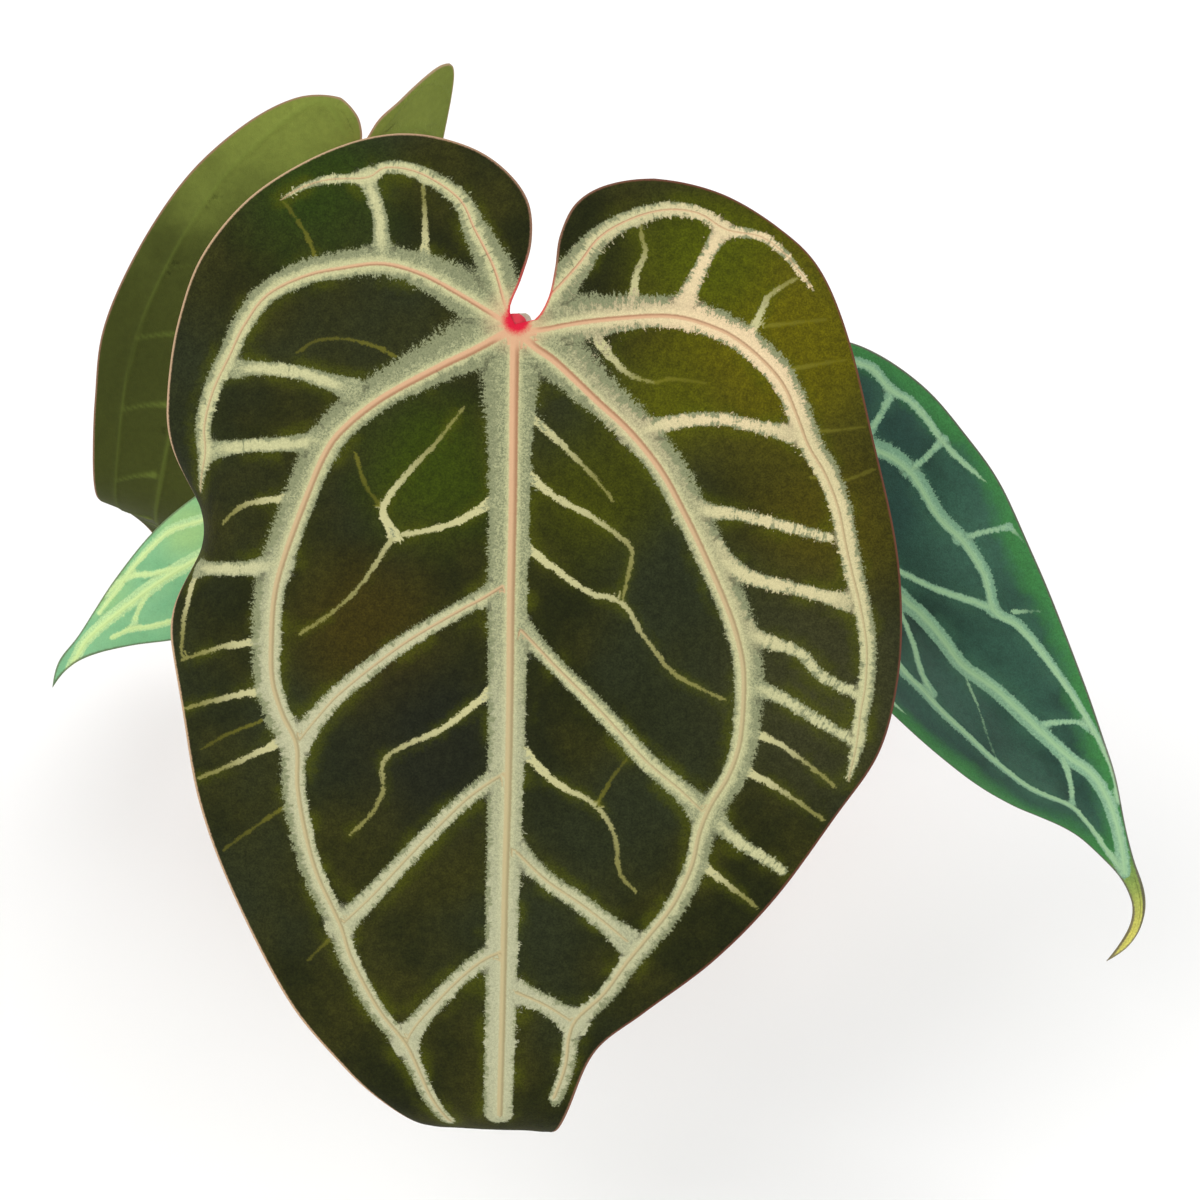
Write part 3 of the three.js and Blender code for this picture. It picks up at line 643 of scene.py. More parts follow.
def veinField(x, y, veins, scale):
    # bands: how far outside the pale band a place is, joined softly where bands meet, how far it is from
    # the middle of one, and how much of the pale skin it keeps: all of it inside, less and less over a
    # fringe that is wide on a band's outer side and near the joint. lines and thin veins: the offset to the
    # nearest, less than nothing on its right, its half width, and the plain distance.
    nearJoint = smooth((44 - np.hypot(x, y)) / 34)
    soft = (1.5 + 1.5 * nearJoint) * scale
    total = np.exp(-farAway / soft)
    deep = np.full(len(x), noVein)
    field = {"streak": np.zeros((len(x), 3)), "rib": np.zeros(len(x)), "cover": np.zeros(len(x))}
    field["centre"] = np.full(len(x), noVein)
    for key in ("line", "thin"):
        field[key + "Offset"] = np.full(len(x), noVein)
        field[key + "Distance"] = np.full(len(x), noVein)
        field[key + "Half"] = np.full(len(x), 0.3)
    field["thinShows"] = np.zeros(len(x))
    for number, (kind, course) in enumerate(veins):
        facts = veinKinds[kind]
        length = np.hypot(*np.diff(course, axis=0).T).sum()
        path = splineThrough(course, max(8, int(length / 0.9)))
        distance, offset, along, whole = measureFrom(path, x, y)
        share = along / whole
        near = distance < farAway - 0.1
        first, last = facts.get("band", facts.get("thin"))
        half = (first + (last - first) * share) * scale
        flare = np.exp(-along / (5 * scale))
        if kind not in ("thin", "slim"):
            flare = flare + 0.8 * np.exp((along - whole) / (5 * scale))
        if kind in ("rung", "side", "slim", "thin"):  # they spread out into the band that they leave or reach
            half = half + flare * scale * (1.6 if kind != "thin" else 0.8)
        if kind in ("arch", "lobe"):  # their far ends run out in a point
            half = half * np.sqrt(smooth((whole - along) / (16 * scale)))
        key = "thin" if "thin" in facts else "line"
        if key == "line":
            outward = np.tanh(offset * np.sign(course[:, 0].mean() - 0.1) / (2 * scale)) * (share > 0.02)
            outside = distance - half * (1 + facts["outer"] * outward)
            total += np.where(near, np.exp(-outside / soft), 0)
            fringe = facts["fringe"] * (0.5 + 0.5 * outward) * (1 - 0.7 * smooth(share * 1.2 - 0.2))
            reach = scale * (1.6 + fringe + 5 * nearJoint)
            cover = smooth(1 - (outside + 0.6) / reach)
            field["cover"] = np.maximum(field["cover"], np.where(near, cover, 0))
            deeper = distance + (3 * flare * scale if kind in ("rung", "side", "slim") else 0)
            field["centre"] = np.minimum(field["centre"], deeper)
            closer = near & (outside < deep)
            deep[closer] = outside[closer]
            streak = np.stack([along + 37 * number, distance, np.full(len(x), number)], axis=-1)
            field["streak"][closer] = streak[closer]
            first, last = facts["line"]
            half = (first + (last - first) * share**0.7) * scale
        elif kind == "thin":
            total += np.where(near, np.exp(-(distance - half + 1.9 * scale) / soft), 0)
        closer = near & (distance - half < field[key + "Distance"] - field[key + "Half"]) & (half > 0.02)
        for name, numbers in (("Offset", offset), ("Distance", distance), ("Half", half)):
            field[key + name][closer] = numbers[closer]
        if key == "thin":
            fade = facts["shows"] * (1 - 0.4 * smooth(share * 1.1))
            field["thinShows"][closer] = fade[closer]
        ridge = (0.25 + 0.5 * half) * np.exp(-(distance / (0.8 + half))**2)
        field["rib"] = np.maximum(field["rib"], np.where(near, ridge, 0))
    field["band"] = -soft * np.log(total)
    return field


usualPlan = {  # shares of a half's width and of the way down to the tip
    "marks": np.linspace(-0.04, 0.93, 9),
    "mainOut": 0.5, "archOut": 0.8,
    "sides": (0.2, 0.42, 0.62, 0.8),
    "rungs": np.arange(0.12, 0.8, 0.11),
}


def usualVeins(leaf):
    # the common plan of such a blade, in flat mm: on each half a lobe vein, an arch near the margin and a
    # main vein half-way out, each a share of the half's width, with side veins from the midrib and rungs
    # between
    tipHeight, mainOut, archOut = leaf["left"][-1][1], usualPlan["mainOut"], usualPlan["archOut"]
    veins = [("midrib", np.array([(0, 0), (0, -60), (0, tipHeight * 0.6), (0, tipHeight * 0.96)]))]
    for key in ("left", "right"):
        curve = splineThrough(leaf[key], 481)
        top = np.argmax(curve[:, 1])
        outer, tip, crown = curve[top:][::-1], curve[-1, 1], curve[top]

        def across(y, share):
            return np.stack([np.interp(y, outer[:, 1], outer[:, 0]) * share, y], axis=-1)

        marks = usualPlan["marks"] * tip
        main = np.concatenate([[(0, 0)], across(marks[2:], mainOut * (1 - np.linspace(0, 0.25, 7)))])
        arch = np.concatenate([[(0, 0), (crown[0] * 0.55, crown[1] * 0.3)], across(marks[:7], archOut)])
        lobe = np.array([(0, 0), crown * (0.35, 0.55), crown * (0.8, 0.8), (crown[0] * 1.5, crown[1] * 0.62)])
        veins += [("main", main), ("arch", arch), ("lobe", lobe)]
        for share in usualPlan["sides"]:
            far = across(np.array([share * tip * 1.16]), mainOut - 0.12 * share)[0]
            start = np.array([0, (share - 0.14) * tip])
            middle = (start + far) / 2 + (0, 0.012 * tip)
            kind = "thin" if share == usualPlan["sides"][0] else "side"
            veins.append((kind, np.array([start, middle, far])))
        for share in usualPlan["rungs"]:
            ends = across(np.array([share, share + 0.035]) * tip, np.array([mainOut, archOut]))
            kind = "rung" if share < 0.3 else "thin"
            veins.append((kind, np.array([ends[0], ends.mean(0) + (0, 1), ends[1]])))
    return veins


# The blades' pieces and finishes

relief = {  # mm
    "pillow": 0.45,    # how far the skin stands up between the veins
    "pillowWidth": 5,  # from the bands, where it has mostly risen
    "lineRise": 0.5,   # the raised line along a vein
    "ribs": 1.1,       # the ribs below
    "marginFlat": 4,   # from the margin, over which all of them fade in
}


def makeBlade(name, paint, veins, lowest=-1e3):
    # the sheet moved along its normals by half its thickness and its relief, to the upper side and then to
    # the under side, with a wall of triangles joining the two along every edge
    leaf = leaves[name]
    print("blade", name)
    flatParts, pointParts, faceParts, fieldParts, edges, start = [], [], [], [], [], 0
    outline = np.concatenate([splineThrough(leaf["left"], 300), splineThrough(leaf["right"], 300)[::-1]])
    for under, columns in enumerate(leaf["columns"]):
        flat, middle, faces, borders = sheetOf(leaf, columns)
        first, welded, number = weld(middle, faces)
        normals = pointNormals(middle[first], welded)
        if not under:
            if veins is None:
                courses = usualVeins(leaf)
            else:
                courses = [(kind, leafPlaces(course, flat[first], middle[first], normals, lowest))
                           for kind, course in veins]
        x, y = flat[first].T
        field = veinField(x, y, courses, bladeFinishes[name]["veins"])
        field["margin"] = measureFrom(outline, x, y)[0]
        field["under"] = np.full(len(x), float(under))
        field["leafPlace"] = np.stack([x, y, np.zeros(len(x))], axis=-1)
        thick = blade["thickness"] / 2 * np.sqrt(np.clip(field["margin"] / blade["edge"], 0.25, 1))
        inward = smooth(field["margin"] / relief["marginFlat"])
        if under:
            rise = relief["ribs"] * field["rib"] * inward
        else:
            pillow = 1 - np.exp(-(np.maximum(field["band"], 0) / relief["pillowWidth"])**2)
            line = np.exp(-(field["lineDistance"] / np.maximum(field["lineHalf"] * 1.3, 0.8))**2)
            rise = (relief["pillow"] * pillow + relief["lineRise"] * line * field["lineHalf"]) * inward
        points = middle[first] + normals * (thick + rise)[:, None] * (-1 if under else 1)
        edges.append([number[border] + start for border in borders])
        faceParts.append((welded[:, ::-1] if under else welded) + start)
        flatParts.append(flat[first])
        pointParts.append(points)
        fieldParts.append(field)
        start += len(first)
    for upper, lower in zip(*edges):
        a, b, c, d = upper[:-1], upper[1:], lower[1:], lower[:-1]
        wall = np.concatenate([np.stack([a, c, b], axis=-1), np.stack([a, d, c], axis=-1)])
        faceParts.append(wholeFaces(wall))
    points, faces = np.concatenate(pointParts), np.concatenate(faceParts)
    attributes = [(key, np.concatenate([field[key] for field in fieldParts])) for key in fieldParts[0]]
    finishPiece(putMesh(name + "Blade", points, faces, paint, attributes), name + "_blade")


# Each blade's finish: skin tones with flushes (x, y, size, colour), the silver, cream and raised line of its
# veins with painted light in spots (lights) and painted shade beside the line, its margin and its underside
bladeFinishes = {
    "front_leaf": {
        "skin": [(32, 35, 10), (50, 50, 14), (40, 45, 24)],
        "flushes": [(80, -2, 46, (98, 92, 2)), (96, -60, 30, (74, 68, 8)), (-62, 44, 30, (40, 58, 8)),
                    (-25, -44, 26, (52, 66, 4)), (58, 20, 26, (72, 80, 4)), (-45, -92, 26, (58, 50, 8)),
                    (24, -50, 26, (60, 64, 4)), (45, -24, 20, (80, 82, 4)), (95, -110, 40, (56, 56, 30)),
                    (-24, -128, 34, (28, 31, 20))],
        "silver": (164, 166, 126), "silverDark": (122, 128, 96), "cream": (196, 194, 146),
        # lights: painted light and sheen on the bands, in soft round spots
        "lights": [(-52, -120, 62, (182, 181, 148)), (-10, -205, 80, (178, 178, 146)),
                   (72, 0, 52, (234, 207, 166)), (88, -60, 40, (212, 198, 152))],
        "line": (208, 162, 128), "lineFar": (184, 168, 126), "linePaintedShade": (150, 100, 72),
        "paintedShadeFar": (146, 134, 96),
        "thin": (192, 188, 138), "thinFar": (134, 130, 44), "rim": (82, 88, 6),
        "margin": (206, 172, 138), "marginFar": (112, 66, 54), "joint": (206, 28, 56),
        "below": (104, 112, 66), "belowFar": (88, 96, 56), "belowVein": (150, 150, 104),
        "fray": 1.0, "rimWidth": 0.0, "tip": [], "veins": 1.0, "nap": 0.38,
        "roughness": 0.7, "specular": 0.08,
    },
    "back_leaf": {
        "skin": [(36, 44, 16), (52, 62, 18), (46, 52, 30)],
        "flushes": [],
        "silver": (166, 170, 138), "silverDark": (126, 134, 108), "cream": (196, 194, 150),
        "lights": [],
        "line": (214, 172, 138), "lineFar": (190, 160, 118), "linePaintedShade": (150, 96, 70),
        "paintedShadeFar": (150, 130, 96),
        "thin": (176, 176, 116), "thinFar": (112, 116, 44), "rim": (78, 92, 16),
        "margin": (186, 160, 128), "marginFar": (150, 112, 92), "joint": (200, 40, 60),
        "below": (122, 134, 58), "belowFar": (62, 68, 24), "belowVein": (112, 128, 52),
        "fray": 0.7, "rimWidth": 0.0, "tip": [], "veins": 0.55, "nap": 0.38,
        "roughness": 0.7, "specular": 0.1,
    },
    "right_leaf": {
        "skin": [(28, 58, 46), (46, 86, 68), (36, 70, 60)],
        "flushes": [(30, -60, 26, (58, 100, 80)), (-20, -90, 24, (54, 92, 76))],
        "silver": (142, 182, 146), "silverDark": (120, 164, 132), "cream": (156, 194, 150),
        "lights": [],
        "line": (160, 198, 150), "lineFar": (160, 198, 150), "linePaintedShade": (146, 186, 140),
        "paintedShadeFar": (146, 186, 140),
        "thin": (146, 184, 142), "thinFar": (104, 144, 110), "rim": (60, 104, 78),
        "margin": (96, 84, 80), "marginFar": (96, 84, 80), "joint": (190, 70, 80),
        "below": (100, 136, 96), "belowFar": (120, 146, 84), "belowVein": (146, 176, 128),
        "fray": 0.45, "rimWidth": 11.0, "rimColour": (60, 130, 64), "tip": [(0, -210, 34, (206, 200, 96))],
        "veins": 0.5, "nap": 0.22, "roughness": 0.5, "specular": 0.2,
    },
    "young_leaf": {
        "skin": [(112, 174, 120), (138, 192, 138), (126, 184, 138)],
        "flushes": [(-14, -40, 12, (160, 200, 126)), (-14, -75, 12, (158, 200, 124)),
                    (20, 8, 8, (84, 150, 40))],
        "silver": (190, 222, 158), "silverDark": (172, 212, 150), "cream": (204, 230, 156),
        "lights": [],
        "line": (208, 230, 158), "lineFar": (202, 226, 152), "linePaintedShade": (192, 218, 144),
        "paintedShadeFar": (192, 218, 144),
        "thin": (192, 224, 148), "thinFar": (164, 204, 140), "rim": (140, 196, 140),
        "margin": (92, 104, 70), "marginFar": (92, 104, 70), "joint": (206, 110, 110),
        "below": (140, 178, 120), "belowFar": (140, 178, 120), "belowVein": (178, 204, 140),
        "fray": 0.4, "rimWidth": 0.0, "tip": [], "veins": 0.46, "nap": 0.07,
        "roughness": 0.45, "specular": 0.2,
    },
}


bladeNoises = {  # scale, detail and roughness
    "grain": (1700, 3, 0.75), "speck": (5200, 1, 0.5), "patch": (420, 3, 0.65), "broad": (38, 3, 0.55),
}
bladeBumps = {"bands": 0.00025, "grain": 0.0002}  # metres


def bladePaint(name):
    look = bladeFinishes[name]
    p = Paint(name + "Skin", look["roughness"], 0, look["specular"])
    keys = ("band", "centre", "cover", "lineOffset", "lineDistance", "lineHalf", "thinOffset",
            "thinDistance", "thinHalf", "thinShows", "margin", "under", "rib")
    read = {key: p.attribute(key) for key in keys}
    streak, leafPlace = p.attribute("streak", True), p.attribute("leafPlace", True)
    across, down, _ = p.node("SeparateXYZ", {0: leafPlace}).outputs
    grain, speck, patch, broad = (p.noise(*facts) for facts in bladeNoises.values())

    def toneOf(key):
        return tint(*look[key])

    def about(given, size):  # a noise of about 0.3 to 0.7, as plus or minus a size
        return p.calc("MULTIPLY_ADD", given, size * 5, -size * 2.5)

    def placeGap(x, y):
        return p.node("VectorMath", {0: leafPlace, 1: (x, y, 0)}, operation="DISTANCE").outputs["Value"]

    # used both for flushes of the skin's own tone and for painted light in soft spots on the bands
    def flushAndPaintedLight(colour, spots, amount):  # a colour changed in soft round spots
        for x, y, size, tone in spots:
            gap = p.calc("ADD", placeGap(x, y), p.calc("MULTIPLY", broad, size * 0.5))
            colour = p.blend(p.step(gap, size * 1.5, size * 0.45, 0.0, amount), colour, tint(*tone))
        return colour

    def mottled(colour, given, darkest, lightest):  # a colour made darker and lighter by a noise
        shades = p.blend(p.step(given, 0.3, 0.7), (darkest,) * 3 + (1,), (lightest,) * 3 + (1,))
        return p.blend(1.0, colour, shades, "MULTIPLY")

    # the skin: three tones in soft clouds, flushed in places, greener beside the bands, with a fine nap of
    # specks
    deepTone, lightTone, coolTone = (tint(*tone) for tone in look["skin"])
    skin = p.blend(p.step(broad, 0.35, 0.65), deepTone, lightTone)
    skin = p.blend(p.step(p.noise(17, 2, 0.5), 0.45, 0.7), skin, coolTone)
    skin = flushAndPaintedLight(skin, look["flushes"], 0.85)
    beside = p.calc("MULTIPLY", p.step(p.calc("ADD", read["band"], about(patch, 1.5)), 5.5, 0.5),
                    p.step(p.noise(75, 2, 0.5), 0.42, 0.62, 0.05, 0.5))
    skin = p.blend(beside, skin, toneOf("rim"))
    if look["rimWidth"]:
        inward = p.calc("ADD", read["margin"], p.calc("ADD", about(patch, 1.2),
                                                      about(broad, look["rimWidth"] * 0.3)))
        skin = p.blend(p.step(inward, look["rimWidth"], 2.0, 0.0, 0.9), skin, toneOf("rimColour"))
    skin = flushAndPaintedLight(skin, look["tip"], 1.0)
    nap = look["nap"]
    skin = mottled(mottled(skin, grain, 1 - nap, 1 + 0.65 * nap), patch, 1 - 0.55 * nap, 1 + 0.4 * nap)

    def lineEdge(key):  # a line shows where the offset and the plain distance both say so
        offset = p.calc("ABSOLUTE", read[key + "Offset"])
        wide = p.calc("MAXIMUM", offset, p.calc("SUBTRACT", read[key + "Distance"], 0.8))
        return p.calc("SUBTRACT", wide, read[key + "Half"])

    # the thin veins
    fray = p.stretched((1.1, 0.3, 1.0), streak)
    ragged = p.noise(1.0, 3, 0.7, fray)
    rough = p.calc("ADD", about(grain, 0.45), about(patch, 0.4))
    thin = p.calc("MULTIPLY", p.step(p.calc("ADD", lineEdge("thin"), rough), 0.25, -0.3), read["thinShows"])
    thinColour = p.blend(p.step(read["thinShows"], 0.42, 0.85), toneOf("thinFar"), toneOf("thin"))
    skin = p.blend(thin, skin, thinColour)

    # the pale bands: cream in the middle, silver beside it, ending in a fringe of grains
    silver = p.blend(p.step(grain, 0.36, 0.62), toneOf("silverDark"), toneOf("silver"))
    cover = p.calc("ADD", read["cover"], p.calc("ADD", about(grain, 0.28), about(ragged, 0.32)))
    cover = p.calc("MULTIPLY", p.step(cover, 0.34, 0.62), p.step(read["cover"], 0.02, 0.3, 0.0, 0.9))
    skin = p.blend(cover, skin, p.blend(0.55, silver, toneOf("silverDark")))
    rough = p.calc("ADD", about(ragged, 1.1), p.calc("ADD", about(grain, 0.7), about(patch, 0.8)))
    rough = p.calc("MULTIPLY", rough, p.step(placeGap(0, 0), 62, 22, look["fray"], look["fray"] * 2.0))
    edge = p.calc("ADD", read["band"], rough)
    cream = p.calc("ADD", read["centre"], about(patch, 0.4))
    cream = p.step(cream, 3.2 * look["veins"], 0.9 * look["veins"], 0.0, 0.85)
    band = p.blend(cream, silver, toneOf("cream"))
    # painted light and sheen on the bands in soft round spots (lights), then a fine grain
    band = mottled(mottled(flushAndPaintedLight(band, look["lights"], 0.8), speck, 0.88, 1.07), grain, 0.88, 1.08)
    skin = p.blend(p.step(edge, 0.35, -0.35), skin, band)

    # the raised line: pink near the joint, tan further on, with a painted shade along one side that makes it
    # look rounded
    fromJoint = placeGap(0, 0)
    near = p.step(fromJoint, 150, 20)
    lineShare = p.step(p.calc("ADD", lineEdge("line"), about(grain, 0.12)), 0.4, -0.3, 0.0, 0.9)
    lineColour = p.blend(near, toneOf("lineFar"), toneOf("line"))
    # painted shade: a darker band along one side of the line, where the ridge's shadow would fall
    paintedShade = p.blend(near, toneOf("paintedShadeFar"), toneOf("linePaintedShade"))
    over = p.calc("DIVIDE", read["lineOffset"], read["lineHalf"])
    paintedShadeShare = p.calc("MULTIPLY", p.step(over, -0.3, 0.7), p.step(over, 1.6, 1.0))
    lineColour = p.blend(p.calc("MULTIPLY", paintedShadeShare, p.step(fromJoint, 5, 9, 0.0, 0.85)), lineColour, paintedShade)
    skin = p.blend(lineShare, skin, lineColour)

    # the joint's red web, and the margin
    jointGap = placeGap(0.6, 1.2)
    skin = p.blend(p.step(jointGap, 13, 3, 0.0, 0.5), skin, toneOf("line"))
    red = p.step(p.calc("ADD", jointGap, about(grain, 0.5)), 5.4, 2.6)
    rim = p.step(p.calc("ADD", read["margin"], about(grain, 0.15)), 0.95, 0.35)
    marginColour = p.blend(p.step(across, -70, 50), toneOf("margin"), toneOf("marginFar"))
    redMargin = p.blend(p.step(jointGap, 24, 7), marginColour, toneOf("joint"))
    skin = p.blend(p.calc("MULTIPLY", rim, 0.8), skin, redMargin)
    skin = p.blend(red, skin, toneOf("joint"))

    # the underside: paler and dull, with its ribs a little lighter
    below = p.step(p.calc("ADD", down, about(broad, 10)), 20, -85)
    below = p.blend(below, toneOf("below"), toneOf("belowFar"))
    below = mottled(mottled(below, broad, 0.92, 1.06), patch, 0.93, 1.05)
    below = p.blend(p.step(read["rib"], 0.05, 0.8, 0.0, 0.6), below, toneOf("belowVein"))
    below = flushAndPaintedLight(below, look["tip"], 1.0)
    below = p.blend(p.calc("MULTIPLY", rim, 0.8), below, marginColour)
    colour = p.blend(read["under"], skin, below)

    normal = p.bump(grain, bladeBumps["grain"])
    normal = p.bump(p.step(edge, 1.0, -1.0, 0.0, 0.5), bladeBumps["bands"], normal)
    return p.finish(colour, None, normal)


# Stalks, stem and roots

stalk = {  # mm, and shares of the length
    "radius": 2.9, "rows": 170, "sides": 32,
    "sheath": 1.4, "sheathEnd": 0.16,        # how much thicker at the foot, and up to where
    "swelling": 0.9, "swellingStart": 0.9,   # how much thicker at the joint, and from where
    "groove": 0.32, "grooveStart": 0.12,     # along the upper side
    "uneven": 0.04, "wrinkles": 0.09,        # of the round and of the swelling
    "faceGap": 0.35,                         # below the joint, where the stalk's top is flattened
}


def evenPath(points, count):
    # a curve through points whose parameter grows by the square root of each span, resampled to even steps
    p = np.asarray(points, float)
    p = np.concatenate([[2 * p[0] - p[1]], p, [2 * p[-1] - p[-2]]])
    spans, fine = [], np.linspace(0, 1, 60)[:, None]
    for p0, p1, p2, p3 in zip(p, p[1:], p[2:], p[3:]):
        d0, d1, d2 = (np.sqrt(np.linalg.norm(b - a)) for a, b in ((p0, p1), (p1, p2), (p2, p3)))
        t1 = ((p1 - p0) / d0 - (p2 - p0) / (d0 + d1) + (p2 - p1) / d1) * d1
        t2 = ((p2 - p1) / d1 - (p3 - p1) / (d1 + d2) + (p3 - p2) / d2) * d1
        bend = (3 * (p2 - p1) - 2 * t1 - t2) * fine**2
        spans.append(p1 + t1 * fine + bend + (2 * (p1 - p2) + t1 + t2) * fine**3)
    curve = np.concatenate([spans[0]] + [span[1:] for span in spans[1:]])
    walked = np.concatenate([[0], np.cumsum(np.linalg.norm(np.diff(curve, axis=0), axis=1))])
    marks = np.linspace(0, walked[-1], count)
    return np.stack([np.interp(marks, walked, curve[:, k]) for k in range(3)], axis=-1)


def tubeAlong(path, radii, sides, flat=None):
    # rings round a path: each point is its centre plus its radius turned through an angle, closed by a
    # point at each end. flat is the way that stays level across the tube.
    ahead = unit(np.gradient(path, axis=0))
    across = unit(flat - ahead * (ahead @ flat)[:, None])
    up = np.cross(ahead, across)
    angle = 2 * np.pi * np.arange(sides) / sides
    ring = across[:, None] * np.cos(angle)[None, :, None] + up[:, None] * np.sin(angle)[None, :, None]
    points = path[:, None] + ring * radii[:, :, None]
    ends = [np.repeat(path[k][None, None], sides, axis=1) for k in (0, -1)]
    points = np.concatenate([ends[0], points, ends[1]])
    faces = gridFaces(len(points), sides, wrap=True)
    points = points.reshape(-1, 3)
    first, faces, _ = weld(points, faces, step=1e-4)
    return points[first], faces, first


def makeStalk(name, paint):
    # a tube whose radius is the plain one, plus the sheath at its foot and the swelling at its joint, less a
    # groove along its top, and flattened just below the blade's face
    leaf = leaves[name]
    joint = np.array(leaf["joint"])
    path = evenPath([*leaf["stalk"], leaf["joint"]], stalk["rows"])
    share = np.linspace(0, 1, stalk["rows"])[:, None]
    angle = (2 * np.pi * np.arange(stalk["sides"]) / stalk["sides"])[None, :]
    radii = stalk["radius"] + stalk["sheath"] * (1 - smooth(share / stalk["sheathEnd"]))
    tapered = 1 - 0.5 * smooth((share - 0.985) / 0.015)
    radii = radii + stalk["swelling"] * smooth((share - stalk["swellingStart"]) / 0.06) * tapered
    groove = np.exp(-((np.cos(angle - np.pi / 2) - 1) / 0.06)**2)
    groove = groove * smooth((share - stalk["grooveStart"]) / 0.1)
    swell = smooth((share - stalk["swellingStart"]) / 0.04)
    radii = radii - stalk["groove"] * groove * (1 - 0.7 * swell)
    radii = radii + stalk["uneven"] * np.sin(9 * angle + 3 * share)
    radii = radii + stalk["wrinkles"] * swell * np.sin(share * 900)
    heading = joint - np.array(leaf["stalk"][0])
    flat = unit(np.cross((0, 0, 1), heading * (1, 1, 0)))
    points, faces, first = tubeAlong(path, np.broadcast_to(radii, (stalk["rows"], stalk["sides"])),
                                     stalk["sides"], flat)
    face = axesOf(leaf)[2]
    above = (points - joint) @ face + stalk["faceGap"]
    points = points - face * np.maximum(above, 0)[:, None]
    row = np.clip(first // stalk["sides"] - 1, 0, stalk["rows"] - 1)
    length = np.linalg.norm(np.diff(path, axis=0), axis=1).sum()
    rowShare = row / (stalk["rows"] - 1.0)
    attributes = [("along", rowShare * length), ("left", length * (1 - rowShare))]
    finishPiece(putMesh(name + "Stalk", points, faces, paint, attributes), name + "_stalk")


def stalkPaint():
    p = Paint("stalkSkin", 0.45, 0.05, 0.4)
    left, along = p.attribute("left"), p.attribute("along")
    streaks = p.stretched((1, 1, 0.12))
    colour = p.cloud(tint(112, 128, 62), tint(140, 148, 82), (420, 3, 0.6, streaks), 0.35, 0.65)
    colour = p.cloud(colour, tint(138, 96, 70), (60, 3, 0.6), 0.5, 0.75, 0.6)
    flecks = p.step(p.cells(900), 0.16, 0.08, 0.0, 0.6)
    colour = p.blend(flecks, colour, tint(172, 176, 120))
    colour = p.blend(p.step(left, 150, 70, 0.0, 0.5), colour, tint(184, 112, 92))
    colour = p.blend(p.step(left, 62, 30, 0.0, 0.85), colour, tint(184, 112, 92))
    colour = p.blend(p.step(left, 24, 8, 0.0, 0.95), colour, tint(204, 36, 58))
    colour = p.blend(p.step(along, 22, 4, 0.0, 0.7), colour, tint(132, 110, 74))
    return p.finish(colour, None, p.bump(p.noise(900, 2, 0.6, streaks), 0.0002))


stem = {
    "profile": [(0, 98), (5, 99), (7.5, 112), (8.5, 119), (9.5, 122), (8.6, 125), (9.4, 130), (8.4, 133),
                (8.9, 139), (7.9, 143), (8.3, 148), (7.2, 153), (4, 160), (0, 161)],
    "rows": 120, "sides": 72, "bark": 0.35,
}
# Each root's angle round the stem, how far out it goes and the height it leaves at
roots = [(12, 25, 129), (78, 21, 126), (158, 27, 130), (205, 20, 125), (270, 24, 127), (318, 28, 125)]
rootForm = {"radius": 1.9, "bow": 5, "arch": 1.5, "foot": 108, "rows": 60, "sides": 20}
# Each bud scale's angle round the stem, length, height it starts at, lean and half width
budScales = [(44, 44, 144, 10, 5.5), (66, 32, 139, 24, 4)]
scaleForm = {"thickness": 0.8, "seat": 6.6, "rows": 48, "columns": 22}


def turnedBody(profile, rows, sides):
    # a profile of radius and height, smoothed, carried round the upright axis
    curve = splineThrough(profile, rows)
    angle = 2 * np.pi * np.arange(sides) / sides
    radius = np.maximum(curve[:, :1], 0)
    points = np.stack([radius * np.cos(angle), radius * np.sin(angle),
                       np.repeat(curve[:, 1:], sides, axis=1)], axis=-1)
    return points, gridFaces(rows, sides, wrap=True)


